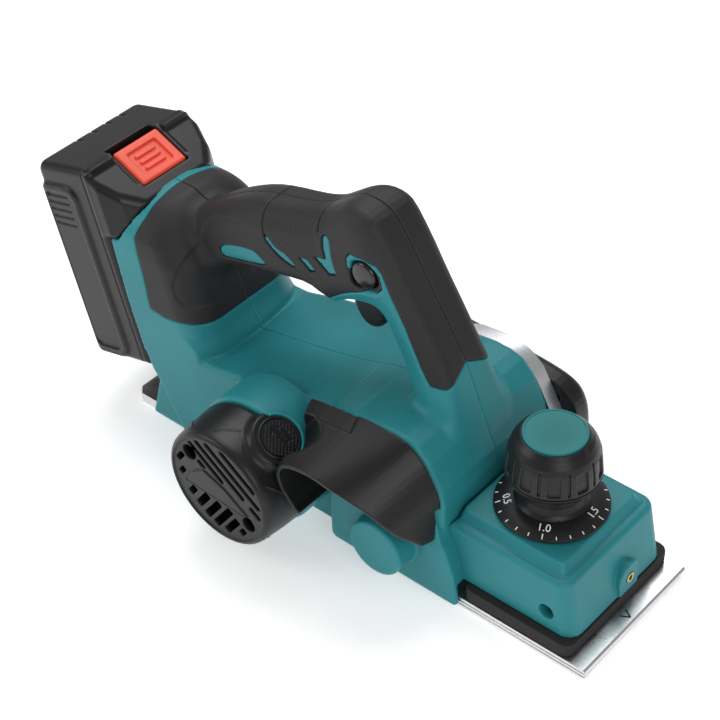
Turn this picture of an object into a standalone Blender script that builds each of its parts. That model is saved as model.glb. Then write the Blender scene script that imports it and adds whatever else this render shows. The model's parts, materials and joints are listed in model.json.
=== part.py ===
"""Electric hand planer, cordless, 82 mm wide: an assembly of separate solids.

Frame: metres, +X is the direction of planing, +Y the tool's left, +Z up.
The dimensions are measured from the point on the sole plane, at mid-width, under the axis of
the cutter drum; the finished assembly has its origin 100 mm behind that, on the rear sole.
"""

import math

import bmesh
import bpy
from mathutils import Vector

MM = 0.001
GAP = 0.3                   # clearance between touching pieces, mm
SEAM = 0.15                 # half the clearance between the two casing halves, mm
ROUND_STEPS = 20            # sides of a large round piece
SMALL_STEPS = 10            # sides of a small round piece

# Driving dimensions, all in millimetres.
ORIGIN_BEHIND_DRUM = 100.0
SOLE_THICKNESS = 6.0
SHOE_HALF_WIDTH = 41.0      # 82 mm planing width
SHOE_FRONT_X = 110.0
SHOE_REAR_X = 21.0
BASE_REAR_X = -186.0
BASE_FRONT_X = -19.0
BASE_HALF_WIDTH = 33.0
BODY_HALF_WIDTH = 36.0
ARCH_HALF_WIDTH = 41.0
PANEL_Y = -44.0
WALL = 2.6
SKIN = 2.0                  # depth of the rubber overmould in the casing
SKIN_THICKNESS = 1.5

DRUM_Z = 26.0
DRUM_RADIUS = 25.0
BLADE_RADIUS = 25.9
DRUM_HALF_LENGTH = 40.6

MOTOR_X = -72.0
MOTOR_Z = 42.0
NECK_RADIUS = 34.0
NECK_END_Y = -59.0
MOTOR_END_Y = -86.0

KNOB_X = 60.0
KNOB_TOP_Z = 94.7
KNOB_GROOVES = 12
DIAL_RADIUS = 27.0
HOUSING_BOTTOM_Z = 14.0
HOUSING_TOP_Z = 45.2
PLINTH_TOP_Z = 50.0

BATTERY_TILT = math.radians(15.0)
BATTERY_FOOT = (-209.9, 21.8)       # rear lower corner of the pack, x and z
BATTERY_HALF_WIDTH = 37.3
BATTERY_LENGTH = 113.5
BATTERY_REAR_DEPTH = 43.8

FRAME_LEFT_Y = (41.3, 49.0)         # cast side plate of the drum frame
COVER_Y = (49.3, 62.0)              # belt cover on its left
BELT_Y = (51.5, 57.5)
COVER_SCREWS = ((-96.0, 30.0), (30.0, 12.0), (26.0, 62.0))
DRUM_PULLEY_RADIUS = 17.0
MOTOR_PULLEY_RADIUS = 9.0

TRIGGER_PIVOT = (-33.0, 131.0)
LOCK_BUTTON = (-36.0, 146.0)
FOOT_PIVOT = (-158.0, 10.5)

GRILLE_TILT = math.radians(-36.0)   # direction of the long slots in the motor's end grille
LONG_SLOTS = ((24.0, -12.5, 12.5), (17.7, -20.5, 20.0), (12.2, -24.0, 11.5), (7.3, -23.0, 0.0))
SHORT_SLOTS = ((-1.2, -23.0, -11.5), (5.2, -23.0, -8.5), (11.5, -21.5, -5.0), (17.4, -18.0, -3.0))
GRILLE_HOLES = (-22.7, 22.4)

CAP_RADIUS = 10.9                   # round screw cap on the motor's brush holder
CAP_Y = -62.0
CAP_ANGLE = math.radians(54.5)

# Colour, roughness and metallic value of each finish.
FINISHES = {
    "teal_plastic": ((0.055, 0.225, 0.245), 0.42, 0.0),
    "black_plastic": ((0.022, 0.022, 0.024), 0.45, 0.0),
    "black_rubber": ((0.040, 0.038, 0.042), 0.75, 0.0),
    "red_plastic": ((0.85, 0.10, 0.055), 0.40, 0.0),
    "cast_aluminium": ((0.72, 0.73, 0.75), 0.45, 1.0),
    "milled_aluminium": ((0.80, 0.81, 0.82), 0.30, 1.0),
    "steel": ((0.55, 0.56, 0.58), 0.30, 1.0),
    "dark_steel": ((0.16, 0.16, 0.17), 0.40, 1.0),
    "brass": ((0.75, 0.55, 0.25), 0.30, 1.0),
    "copper": ((0.70, 0.34, 0.20), 0.35, 1.0),
    "belt_rubber": ((0.015, 0.015, 0.015), 0.80, 0.0),
    "circuit_board": ((0.02, 0.16, 0.07), 0.50, 0.0),
    "cell_wrap": ((0.06, 0.20, 0.42), 0.45, 0.0),
}


# ---------------------------------------------------------------- shape helpers

def clear_scene():
    for obj in list(bpy.data.objects):
        bpy.data.objects.remove(obj, do_unlink=True)


def material_for(finish):
    material = bpy.data.materials.get(finish)
    if material is None:
        colour, roughness, metallic = FINISHES[finish]
        material = bpy.data.materials.new(finish)
        material.use_nodes = True
        shader = material.node_tree.nodes["Principled BSDF"]
        shader.inputs["Base Color"].default_value = (*colour, 1.0)
        shader.inputs["Roughness"].default_value = roughness
        shader.inputs["Metallic"].default_value = metallic
    return material


def object_from(bm):
    """Turn a bmesh in millimetres into a linked object in metres."""
    bmesh.ops.recalc_face_normals(bm, faces=bm.faces[:])
    bmesh.ops.scale(bm, vec=(MM, MM, MM), verts=bm.verts[:])
    mesh = bpy.data.meshes.new("solid")
    bm.to_mesh(mesh)
    bm.free()
    obj = bpy.data.objects.new("solid", mesh)
    bpy.context.scene.collection.objects.link(obj)
    return obj


def loft(rings, closed=False):
    """Skin a list of equal rings; the ends are capped unless the skin closes on itself."""
    bm = bmesh.new()
    loops = [[bm.verts.new(point) for point in ring] for ring in rings]
    pairs = list(zip(loops, loops[1:]))
    if closed:
        pairs.append((loops[-1], loops[0]))
    else:
        bm.faces.new(loops[0])
        bm.faces.new(loops[-1])
    count = len(loops[0])
    for low, high in pairs:
        for i in range(count):
            j = (i + 1) % count
            bm.faces.new((low[i], low[j], high[j]))
            bm.faces.new((low[i], high[j], high[i]))
    return object_from(bm)


def place(a, b, level, axis):
    """Point of a section in the plane across the given axis."""
    if axis == "X":
        return (level, a, b)
    if axis == "Y":
        return (a, level, b)
    return (a, b, level)


def prism(outline, low, high, axis="Y"):
    """Extrude an outline (x,z across Y; y,z across X; x,y across Z)."""
    return loft([[place(a, b, level, axis) for a, b in outline] for level in (low, high)])


def circle(cx, cy, radius, steps=ROUND_STEPS, start=0.0):
    turn = 2.0 * math.pi / steps
    return [(cx + radius * math.cos(start + turn * i), cy + radius * math.sin(start + turn * i))
            for i in range(steps)]


def rectangle(x0, x1, y0, y1, corner=0.0, steps=3):
    """Rectangle outline with rounded corners."""
    if corner <= 0.0:
        return [(x0, y0), (x1, y0), (x1, y1), (x0, y1)]
    centres = ((x1 - corner, y0 + corner), (x1 - corner, y1 - corner),
               (x0 + corner, y1 - corner), (x0 + corner, y0 + corner))
    points = []
    for quarter, (cx, cy) in enumerate(centres):
        for step in range(steps + 1):
            angle = math.pi / 2.0 * (quarter - 1 + step / steps)
            points.append((cx + corner * math.cos(angle), cy + corner * math.sin(angle)))
    return points


def offset(outline, distance):
    """Move each side of a closed outline inwards by a distance."""
    area = sum(x0 * y1 - x1 * y0 for (x0, y0), (x1, y1) in zip(outline, outline[1:] + outline[:1]))
    side = distance if area > 0 else -distance
    count = len(outline)
    moved = []
    for i in range(count):
        before = Vector(outline[i - 1])
        here = Vector(outline[i])
        after = Vector(outline[(i + 1) % count])
        first = (here - before).normalized()
        second = (after - here).normalized()
        normal_a = Vector((-first.y, first.x))
        normal_b = Vector((-second.y, second.x))
        bisector = (normal_a + normal_b).normalized()
        moved.append(tuple(here + bisector * side / max(0.35, bisector.dot(normal_a))))
    return moved


def turned(profile, centre, axis="Y", steps=ROUND_STEPS, closed=False):
    """Turn (radius, height) pairs about an axis; closed makes a ring with a bore."""
    rings = []
    for radius, height in profile:
        rings.append([place(a, b, height, axis)
                      for a, b in circle(centre[0], centre[1], radius, steps)])
    return loft(rings, closed)


def cylinder(centre, radius, low, high, axis="Y", steps=ROUND_STEPS):
    return prism(circle(centre[0], centre[1], radius, steps), low, high, axis)


def ring(centre, inner, outer, low, high, axis="Y", steps=ROUND_STEPS):
    profile = [(inner, low), (outer, low), (outer, high), (inner, high)]
    return turned(profile, centre, axis, steps, closed=True)


def rod(start, end, radius, steps=ROUND_STEPS):
    """Straight round bar between two points."""
    low = Vector(start)
    high = Vector(end)
    along = (high - low).normalized()
    side = along.cross(Vector((0, 1, 0)))
    if side.length < 0.1:
        side = along.cross(Vector((0, 0, 1)))
    side.normalize()
    other = along.cross(side)
    rings = []
    for centre in (low, high):
        rings.append([tuple(centre + side * a + other * b)
                      for a, b in circle(0.0, 0.0, radius, steps)])
    return loft(rings)


def clipped(outline, limit):
    """Flatten an outline's points that lie beyond a limit of its first coordinate."""
    return [(min(a, limit), b) for a, b in outline]


def box(x0, x1, y0, y1, z0, z1):
    return prism(rectangle(x0, x1, y0, y1), z0, z1, "Z")


def coil(centre, radius, wire, low, high, turns, axis="Z", sides=6, per_turn=12):
    """Round wire wound about an axis between two levels."""
    rings = []
    count = int(turns * per_turn)
    for i in range(count + 1):
        angle = 2.0 * math.pi * i / per_turn
        level = low + (high - low) * i / count
        out = (math.cos(angle), math.sin(angle))
        ring_points = []
        for k in range(sides):
            spin = 2.0 * math.pi * k / sides
            reach = radius + wire * math.cos(spin)
            ring_points.append(place(centre[0] + reach * out[0], centre[1] + reach * out[1],
                                     level + wire * math.sin(spin), axis))
        rings.append(ring_points)
    return loft(rings)


def volume_of(mesh):
    bm = bmesh.new()
    bm.from_mesh(mesh)
    volume = bm.calc_volume()
    bm.free()
    return volume


def combine(target, tool, operation):
    """Boolean the tool into the target and remove the tool."""
    before = volume_of(target.data)
    modifier = target.modifiers.new("combine", "BOOLEAN")
    modifier.operation = operation
    modifier.solver = "EXACT"
    modifier.object = tool
    graph = bpy.context.evaluated_depsgraph_get()
    result = bpy.data.meshes.new_from_object(target.evaluated_get(graph))
    target.modifiers.clear()
    target.data = result
    bpy.data.objects.remove(tool, do_unlink=True)
    after = volume_of(result)
    if after <= 0.0 or math.isclose(before, after, rel_tol=1e-7):
        raise RuntimeError("a Boolean step changed nothing")
    return target


def cut(target, *tools):
    for tool in tools:
        combine(target, tool, "DIFFERENCE")
    return target


def fuse(target, *tools):
    for tool in tools:
        combine(target, tool, "UNION")
    return target


def keep(target, tool):
    return combine(target, tool, "INTERSECT")


def name_piece(obj, name, finish, origin=None, parent=None):
    """Name a solid, put its origin at a point in mm and give it its finish."""
    if origin is not None:
        point = Vector(origin) * MM
        for vertex in obj.data.vertices:
            vertex.co -= point
        obj.location = point
    obj.name = name
    obj.data.name = name
    obj.data.materials.clear()
    obj.data.materials.append(material_for(finish))
    obj.data.shade_smooth()
    obj.data.set_sharp_from_angle(angle=math.radians(32.0))
    if parent is not None:
        obj.parent = parent
        if origin is not None:
            obj.location -= parent.location
    return obj


def empty_at(name, origin, rotation=(0.0, 0.0, 0.0)):
    empty = bpy.data.objects.new(name, None)
    empty.location = Vector(origin) * MM
    empty.rotation_euler = rotation
    bpy.context.scene.collection.objects.link(empty)
    return empty


def screw(centre, low, high, axis, head=3.6, shank=1.9, head_height=2.4, flip=False):
    """Pan head screw with a hexagon recess; the head is at the high end, or low if flipped."""
    sign = -1.0 if flip else 1.0
    top = low if flip else high
    tip = high if flip else low
    profile = [(shank * 0.6, tip), (shank, tip + sign * 1.0), (shank, top - sign * head_height),
               (head, top - sign * head_height), (head, top - sign * 0.6), (head - 0.6, top)]
    body = turned(profile, centre, axis, SMALL_STEPS)
    recess_low, recess_high = sorted((top - sign * 1.5, top + sign * 1.0))
    return cut(body, cylinder(centre, 1.6, recess_low, recess_high, axis, 6))


def pack_point(n, u):
    """World x and z of a point given along and up the tilted battery."""
    cos_t = math.cos(BATTERY_TILT)
    sin_t = math.sin(BATTERY_TILT)
    return (BATTERY_FOOT[0] + n * cos_t - u * sin_t, BATTERY_FOOT[1] + n * sin_t + u * cos_t)


def cap_point(radius):
    """Point on the round cap's axis, at a distance from the motor's axis."""
    return (MOTOR_X + radius * math.cos(CAP_ANGLE), CAP_Y, MOTOR_Z + radius * math.sin(CAP_ANGLE))


# ---------------------------------------------------------------- casing volumes

BASE_OUTLINE = [(-170, 2), (-168, 12), (-163, 30), (-167.5, 36.5), (-173.5, 59), (-150, 61),
                (-121, 61), (-95, 66), (-63, 74), (-36, 81.5), (-36, 2)]
ARCH_OUTLINE = [(-39.5, 2), (-39.5, 79.5), (-10, 87.5), (4, 88), (12, 86), (19, 79.5), (27, 64),
                (29, 56), (28, 50), (28, 2)]
PANEL_OUTLINE = [(-36, 2), (-36, 58), (26.5, 58), (27, 46), (29, 38), (32, 33), (36.4, 21),
                 (38.2, 10), (38.6, 2)]

# The handle loop: outer point and inner point (x, z) of each section, and its half width.
HANDLE_STATIONS = [
    ((-156, 124), (-140, 92), 16.0),
    ((-137, 136), (-126, 103), 16.0),
    ((-113, 149), (-107, 109), 16.5),
    ((-85, 157), (-79, 114), 17.0),
    ((-70, 162), (-62, 115), 17.0),
    ((-56, 171.5), (-50, 119), 17.5),
    ((-41, 177.3), (-42, 122), 17.5),
    ((-28, 172), (-37, 124), 17.5),
    ((-19, 156), (-33, 124), 17.5),
    ((-11, 141), (-29, 122), 17.5),
    ((0, 124), (-22, 111), 17.5),
    ((10, 107), (-14, 97), 18.0),
    ((18.5, 86), (-6, 79), 19.0),
]

# The rear column: level, rear x, front x, half width.
COLUMN_STATIONS = [
    (50, -170.8, -116, 36.0),
    (62, -174.2, -121.5, 36.0),
    (75, -177.8, -127, 35.5),
    (90, -181.8, -131, 34.5),
    (106.3, -186.0, -132, 34.0),
    (107.0, -181.6, -132, 34.0),
    (118.0, -171.2, -139, 31.5),
    (130.5, -169.8, -158, 22.0),
]


def superellipse(centre, across, up, half_width, half_height, power, steps):
    points = []
    for i in range(steps):
        angle = 2.0 * math.pi * (i + 0.5) / steps
        c = math.cos(angle)
        s = math.sin(angle)
        a = math.copysign(abs(c) ** (2.0 / power), c) * half_width
        b = math.copysign(abs(s) ** (2.0 / power), s) * half_height
        points.append(tuple(Vector(centre) + Vector(across) * a + Vector(up) * b))
    return points


def handle_volume(inset):
    """Handle loop; an inset loop is slimmer and reaches further at both ends."""
    rings = []
    last = len(HANDLE_STATIONS) - 1
    for index, (outer, inner, half_width) in enumerate(HANDLE_STATIONS):
        top = Vector((outer[0], 0.0, outer[1]))
        bottom = Vector((inner[0], 0.0, inner[1]))
        centre = (top + bottom) / 2.0
        if index == 0:
            centre += Vector((-0.6, 0.0, -0.8)) * inset
        if index == last:
            centre += Vector((0.3, 0.0, -0.95)) * inset
        half = (top - bottom).length / 2.0 - inset
        up = (top - bottom).normalized()
        rings.append(superellipse(centre, (0, 1, 0), up, half_width - inset, half, 2.8, 16))
    return loft(rings)


def column_volume(inset):
    """Half-round column: flat towards the battery, round towards the hand."""
    rings = []
    bottom = COLUMN_STATIONS[0][0]
    top = COLUMN_STATIONS[-1][0]
    for level, rear, front, half_width in COLUMN_STATIONS:
        if level in (bottom, top):
            level -= inset
        back = rear + inset
        nose = front - inset
        width = half_width - inset
        depth = (nose - back) * 0.55
        points = [(back, width), (back, -width)]
        for step in range(1, 8):
            angle = -math.pi / 2.0 + math.pi * step / 8.0
            points.append((nose - depth + depth * math.cos(angle), width * math.sin(angle)))
        rings.append([(x, y, level) for x, y in points])
    return loft(rings)


def casing_volume(inset, skin):
    """Everything that the casing fills; the handle is lowered by the overmould's depth."""
    volume = prism(offset(BASE_OUTLINE, inset), -BODY_HALF_WIDTH + inset, BODY_HALF_WIDTH - inset)
    fuse(volume, prism(offset(ARCH_OUTLINE, inset), -ARCH_HALF_WIDTH + inset,
                       ARCH_HALF_WIDTH - inset))
    fuse(volume, column_volume(inset + skin), handle_volume(inset + skin))
    fuse(volume, cylinder((MOTOR_X, MOTOR_Z), NECK_RADIUS - inset, NECK_END_Y - inset, 0.0))
    return volume


def casing_half(side):
    """One half of the hollow casing: side is -1 for the right half, +1 for the left half."""
    shell = cut(casing_volume(0.0, SKIN), casing_volume(WALL, SKIN))
    if side < 0:
        return keep(shell, box(-300, 150, -100, -SEAM, -20, 250))
    return keep(shell, box(-300, 150, SEAM, 100, -20, 250))


def rail_slot():
    """Opening in the casing's rear wall for the battery's rails."""
    outline = [pack_point(40, 3), pack_point(58, 3), pack_point(58, 90), pack_point(40, 90)]
    return prism(outline, -27, 27)


def cut_common_openings(shell):
    """Openings of the casing that both halves share."""
    sole_slot = box(-190, 34, -BASE_HALF_WIDTH - GAP, BASE_HALF_WIDTH + GAP, -5, 6.3)
    drum_slot = box(-41, 45, -SHOE_HALF_WIDTH - GAP, SHOE_HALF_WIDTH + 0.5, -5, 14)
    trigger_slot = box(-54, -29.5, -7.5, 7.5, 95, 140)
    foot_slot = box(-190, -150, -15.2, 15.2, 0, 15.2)
    return cut(shell, sole_slot, drum_slot, rail_slot(), trigger_slot, foot_slot,
               cylinder(LOCK_BUTTON, 7.4, -30, 30),
               cylinder(TRIGGER_PIVOT, 1.5, -9.3, 9.3, "Y", SMALL_STEPS),
               cylinder((0, DRUM_Z), 27.2, -40.9, 50))


def body_shell_right():
    shell = casing_half(-1)
    panel = prism(PANEL_OUTLINE, PANEL_Y, PANEL_Y + WALL + 1.0)
    boss = cylinder((0, DRUM_Z), 15.0, -57.0, PANEL_Y + 1.0)
    block = box(-36, -12, -51, PANEL_Y + 1.0, 8, 43)
    fuse(shell, panel, boss, block)
    cut_common_openings(shell)
    cut(shell,
        cylinder((0, DRUM_Z), 12.6, -54.5, -30),
        box(-30, 6, -48, -30, 62, 78),
        rod(cap_point(20.0), cap_point(50.0), CAP_RADIUS + GAP))
    return name_piece(shell, "body_shell_right", "teal_plastic", (0, 0, 60))


def body_shell_left():
    shell = casing_half(1)
    seat = cylinder((MOTOR_X, MOTOR_Z), 30.0, 34.5, 48.9)
    bridge = box(-60, -36.5, 36.0, 48.9, 20, 66)
    fuse(shell, seat, bridge)
    cut_common_openings(shell)
    cut(shell,
        cylinder((MOTOR_X, MOTOR_Z), 13.3, 34, 44.0),
        cylinder((MOTOR_X, MOTOR_Z), 8.0, 30, 60),
        prism(clipped(circle(0, DRUM_Z, 32.6), 23.0), 35, 60),
        box(-35, -29, 35, 45, 5, 33.5))
    return name_piece(shell, "body_shell_left", "teal_plastic", (0, 0, 60))


def grip_overmold(side):
    """Rubber skin over the column, the grip and the front post."""
    skin = cut(fuse(handle_volume(0.0), column_volume(0.0)),
               fuse(handle_volume(SKIN_THICKNESS), column_volume(SKIN_THICKNESS)))
    half = box(-300, 150, -100, -SEAM, 0, 250) if side < 0 else box(-300, 150, SEAM, 100, 0, 250)
    keep(skin, half)
    lower_column = prism([(-200, 40), (-100, 40), (-110, 96), (-150, 76), (-200, 84)], -60, 60)
    lower_post = prism([(-60, 60), (40, 60), (40, 100), (2, 103), (-24, 148), (-24, 156),
                        (-50, 156), (-50, 133), (-60, 126)], -60, 60)
    behind_pack = prism([pack_point(20, 60), pack_point(46.6, 60), pack_point(46.6, 130),
                         pack_point(20, 130)], -60, 60)
    return cut(skin, lower_column, lower_post, behind_pack, rail_slot())


# ---------------------------------------------------------------- sole and front end

def rear_base():
    outline = [(BASE_REAR_X, -BASE_HALF_WIDTH + 4), (BASE_REAR_X + 4, -BASE_HALF_WIDTH),
               (-36, -BASE_HALF_WIDTH), (-36, -SHOE_HALF_WIDTH), (BASE_FRONT_X, -SHOE_HALF_WIDTH),
               (BASE_FRONT_X, SHOE_HALF_WIDTH), (-36, SHOE_HALF_WIDTH), (-36, BASE_HALF_WIDTH),
               (BASE_REAR_X + 4, BASE_HALF_WIDTH), (BASE_REAR_X, BASE_HALF_WIDTH - 4)]
    plate = prism(outline, 0.0, SOLE_THICKNESS, "Z")
    lugs = [box(FOOT_PIVOT[0] - 5, FOOT_PIVOT[0] + 5, y0, y0 + 5, 5, 14.5) for y0 in (-14.5, 9.5)]
    fuse(plate, *lugs)
    cut(plate,
        box(BASE_REAR_X - 5, FOOT_PIVOT[0] + 8, -9, 9, -5, 12),
        cylinder(FOOT_PIVOT, 2.3, -20, 20, "Y", SMALL_STEPS))
    return name_piece(plate, "rear_base", "milled_aluminium", (-100, 0, 0))


def park_foot():
    x, z = FOOT_PIVOT
    outline = [(x + 4.5, z), (x + 3, z + 3.6), (x - 3, z + 3.6), (x - 26, z - 0.5),
               (x - 27, z - 4), (x - 24, z - 8.5), (x - 19, z - 9.5), (x - 10, z - 4.5),
               (x + 3, z - 3.6)]
    foot = cut(prism(outline, -8.6, 8.6), cylinder(FOOT_PIVOT, 2.3, -20, 20, "Y", SMALL_STEPS))
    return name_piece(foot, "park_foot", "black_plastic", (x, 0, z))


def park_foot_pin():
    pin = cylinder(FOOT_PIVOT, 2.0, -14.3, 14.3, "Y", SMALL_STEPS)
    return name_piece(pin, "park_foot_pin", "steel", (FOOT_PIVOT[0], 0, FOOT_PIVOT[1]))


def front_shoe(carrier):
    x0 = SHOE_REAR_X
    x1 = SHOE_FRONT_X
    section = [(x0, 0), (x1 - 1.5, 0), (x1, 1.5), (x1, SOLE_THICKNESS - 1),
               (x1 - 1, SOLE_THICKNESS), (x0, SOLE_THICKNESS)]
    plate = prism(section, -SHOE_HALF_WIDTH, SHOE_HALF_WIDTH)
    fuse(plate, cylinder((KNOB_X, 0), 10.5, 5, 18, "Z"))
    grooves = [box(x0 - 1, x1 + 1, -SHOE_HALF_WIDTH - 1, -SHOE_HALF_WIDTH + 0.6, z, z + 0.8)
               for z in (1.6, 3.6)]
    cut(plate, cylinder((KNOB_X, 0), 5.4, -1, 20, "Z"), *grooves)
    cut(plate, prism([(x1 - 5, -1.2), (x1 - 5, 1.2), (x1 + 5, 4.5), (x1 + 5, -4.5)], -1, 0.8, "Z"))
    return name_piece(plate, "front_shoe", "milled_aluminium", (KNOB_X, 0, 0), carrier)


def shoe_gasket():
    outer = rectangle(39.4, 100.7, -40.6, 40.6, 5.0)
    inner = rectangle(46.0, 94.5, -33.5, 33.5, 3.0)
    gasket = cut(prism(outer, 6.3, 13.7, "Z"), prism(inner, 0, 20, "Z"))
    return name_piece(gasket, "shoe_gasket", "black_rubber", (KNOB_X, 0, 13.7))


def front_housing():
    bottom = rectangle(28.4, 99.7, -36.6, 36.6, 6.0)
    top = rectangle(28.4, 94.6, -36.3, 36.3, 6.0)
    shoulder = rectangle(28.4, 92.4, -34.2, 34.2, 5.0)
    plinth_low = rectangle(28.6, 89.5, -31.6, 31.6, 3.0)
    plinth_top = rectangle(30.0, 87.0, -28.8, 28.8, 3.0)
    levels = ((bottom, HOUSING_BOTTOM_Z), (top, 42.8), (shoulder, HOUSING_TOP_Z),
              (plinth_low, HOUSING_TOP_Z + 0.1), (plinth_top, PLINTH_TOP_Z))
    outer = loft([[(x, y, z) for x, y in outline] for outline, z in levels])
    pad = prism([(-1, 14.4), (13, 14.4), (14.5, 24), (12, 29), (6, 31), (0, 29), (-2.5, 24)],
                90, 101.2, "X")
    fuse(outer, pad)
    hollow = loft([[(x, y, 5) for x, y in rectangle(31.4, 96.2, -33.4, 33.4, 4.0)],
                   [(x, y, 42) for x, y in rectangle(31.4, 91.5, -33.2, 33.2, 4.0)]])
    cut(outer, hollow)
    fuse(outer, cylinder((KNOB_X, 0), 10.0, 26.4, 44, "Z"),
        box(80, 89, -34, -20, 18, 30), box(90, 97, 1, 11, 17, 28))
    cut(outer,
        cylinder((KNOB_X, 0), 5.4, 10, 60, "Z"),
        cylinder((84.3, 24.1), 4.0, -50, -22),
        cylinder((6.2, 22.5), 3.0, 94, 110, "X", SMALL_STEPS))
    return name_piece(outer, "front_housing", "teal_plastic", (KNOB_X, 0, HOUSING_BOTTOM_Z))


def fence_insert():
    insert = ring((6.2, 22.5), 1.6, 2.7, 94.4, 101.5, "X", SMALL_STEPS)
    return name_piece(insert, "fence_insert", "brass", (98, 6.2, 22.5))


def fence_clamp_screw():
    bolt = cylinder((84.3, 24.1), 3.7, -31.5, -22.4, "Y", SMALL_STEPS)
    cut(bolt, box(83.7, 84.9, -40, -30.2, 15, 35))
    return name_piece(bolt, "fence_clamp_screw", "dark_steel", (84.3, -27, 24.1))


def knob_section(level, radius, depth):
    """One ring of the knob; depth is how far its finger grooves cut in."""
    points = []
    for i in range(KNOB_GROOVES * 4):
        angle = 2.0 * math.pi * (i + 0.5) / (KNOB_GROOVES * 4)
        r = radius - (depth if i % 4 in (0, 1) else 0.0)
        points.append((KNOB_X + r * math.cos(angle), r * math.sin(angle), level))
    return points


def depth_knob(carrier):
    profile = ((53.5, 21.0, 0), (57.5, 16.8, 0), (63.0, 15.8, 0), (69.5, 21.6, 0),
               (72.4, 22.5, 0), (73.0, 22.6, 1.7), (86.0, 22.4, 1.7), (86.6, 22.2, 0),
               (91.0, 19.2, 0), (94.0, 16.0, 0))
    knob = loft([knob_section(level, radius, depth) for level, radius, depth in profile])
    cut(knob, cylinder((KNOB_X, 0), 15.4, 92.4, 100, "Z"),
        cylinder((KNOB_X, 0), 5.3, 50, 88, "Z"))
    return name_piece(knob, "depth_knob", "black_plastic", (KNOB_X, 0, 53.5), carrier)


def knob_cap(carrier):
    cap = turned([(15.1, 92.7), (15.1, 94.2), (14.5, KNOB_TOP_Z)], (KNOB_X, 0), "Z")
    return name_piece(cap, "knob_cap", "teal_plastic", (KNOB_X, 0, 92.7), carrier)


def depth_dial(carrier):
    dial = turned([(5.6, 50.4), (26.4, 50.4), (DIAL_RADIUS, 51.0), (DIAL_RADIUS, 52.6),
                   (26.6, 53.1), (5.6, 53.1)], (KNOB_X, 0), "Z", 32, closed=True)
    return name_piece(dial, "depth_dial", "black_plastic", (KNOB_X, 0, 50.4), carrier)


def depth_screw(carrier):
    profile = [(4.2, 8.5), (5.0, 9.5)]
    for turn in range(4):
        level = 10.5 + turn * 4.0
        profile += [(5.0, level), (4.3, level + 2.0)]
    profile += [(5.0, 27.0), (5.0, 80.0), (3.4, 80.5), (3.4, 87.0)]
    stud = turned(profile, (KNOB_X, 0), "Z", SMALL_STEPS)
    return name_piece(stud, "depth_screw", "steel", (KNOB_X, 0, 8.5), carrier)


def depth_spring():
    spring = coil((KNOB_X, 0), 7.6, 0.7, 19.1, 25.3, 3.0)
    return name_piece(spring, "depth_spring", "steel", (KNOB_X, 0, 26.0))


# ---------------------------------------------------------------- drum and belt drive

def drum_frame():
    plate_outline = [(-36, 1), (-36, 77), (-18, 84.5), (-4, 86.3), (5, 86), (12, 83), (18, 78),
                     (24, 68), (29.5, 58), (34, 48), (38, 36), (39, 24), (39, 1)]
    frame = prism(plate_outline, *FRAME_LEFT_Y)
    inner = []
    outer = []
    for step in range(13):
        angle = math.radians(50.0 + 120.0 * step / 12.0)
        inner.append((28.5 * math.cos(angle), DRUM_Z + 28.5 * math.sin(angle)))
        outer.append((31.5 * math.cos(angle), DRUM_Z + 31.5 * math.sin(angle)))
    duct = prism(outer + inner[::-1], -38.0, FRAME_LEFT_Y[0] + 0.5)
    web = box(-34.6, -29.5, -36, FRAME_LEFT_Y[0] + 0.5, 6.4, 33)
    fuse(frame, duct, web)
    cut(frame,
        cylinder((0, DRUM_Z), 13.3, 30, 60),
        box(-20, 4, -34, 4, 45, 70),
        box(-50, 60, FRAME_LEFT_Y[0] - 1, FRAME_LEFT_Y[1] + 1, -3, 2.0))
    return name_piece(frame, "drum_frame", "cast_aluminium", (0, FRAME_LEFT_Y[0], DRUM_Z))


def blade_angle(index):
    return math.radians(90.0 + 180.0 * index)


def around_drum(points, index):
    """Turn (out, along the rim) points of the drum's section to a blade's place."""
    angle = blade_angle(index)
    c = math.cos(angle)
    s = math.sin(angle)
    return [(out * c - side * s, DRUM_Z + out * s + side * c) for out, side in points]


def cutter_drum(spindle):
    drum = cylinder((0, DRUM_Z), DRUM_RADIUS, -DRUM_HALF_LENGTH + 0.6, DRUM_HALF_LENGTH - 0.6)
    fuse(drum, cylinder((0, DRUM_Z), 6.0, -53.8, 49.6, "Y", SMALL_STEPS),
         cylinder((0, DRUM_Z), 4.0, 49.0, 59.0, "Y", SMALL_STEPS))
    for index in (0, 1):
        cut(drum, prism(around_drum([(14.0, -1.8), (30.0, -1.8), (30.0, 9.0), (22.0, 9.0),
                                     (14.0, 6.6)], index), -50, 50))
    return name_piece(drum, "cutter_drum", "cast_aluminium", (0, 0, DRUM_Z), spindle)


def planer_blade(index, spindle):
    section = around_drum([(15.0, -1.4), (BLADE_RADIUS - 0.1, -1.4), (BLADE_RADIUS - 1.5, -0.2),
                           (15.0, -0.2)], index)
    blade = prism(section, -40.0, 40.0)
    return name_piece(blade, f"planer_blade_{index + 1}", "steel", (0, 0, DRUM_Z), spindle)


def blade_clamp(index, spindle):
    section = around_drum([(14.6, 0.2), (23.6, 0.2), (24.0, 3.0), (21.6, 8.4), (14.6, 6.0)], index)
    clamp = prism(section, -39.0, 39.0)
    cut(clamp, *[clamp_bolt_rod(index, y, 2.1, 10.0, 30.0) for y in (-22.0, 22.0)])
    return name_piece(clamp, f"blade_clamp_{index + 1}", "dark_steel", (0, 0, DRUM_Z), spindle)


def clamp_bolt_rod(index, y, radius, low, high):
    ends = [around_drum([(out, 3.2)], index)[0] for out in (low, high)]
    return rod((ends[0][0], y, ends[0][1]), (ends[1][0], y, ends[1][1]), radius, 10)


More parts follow.
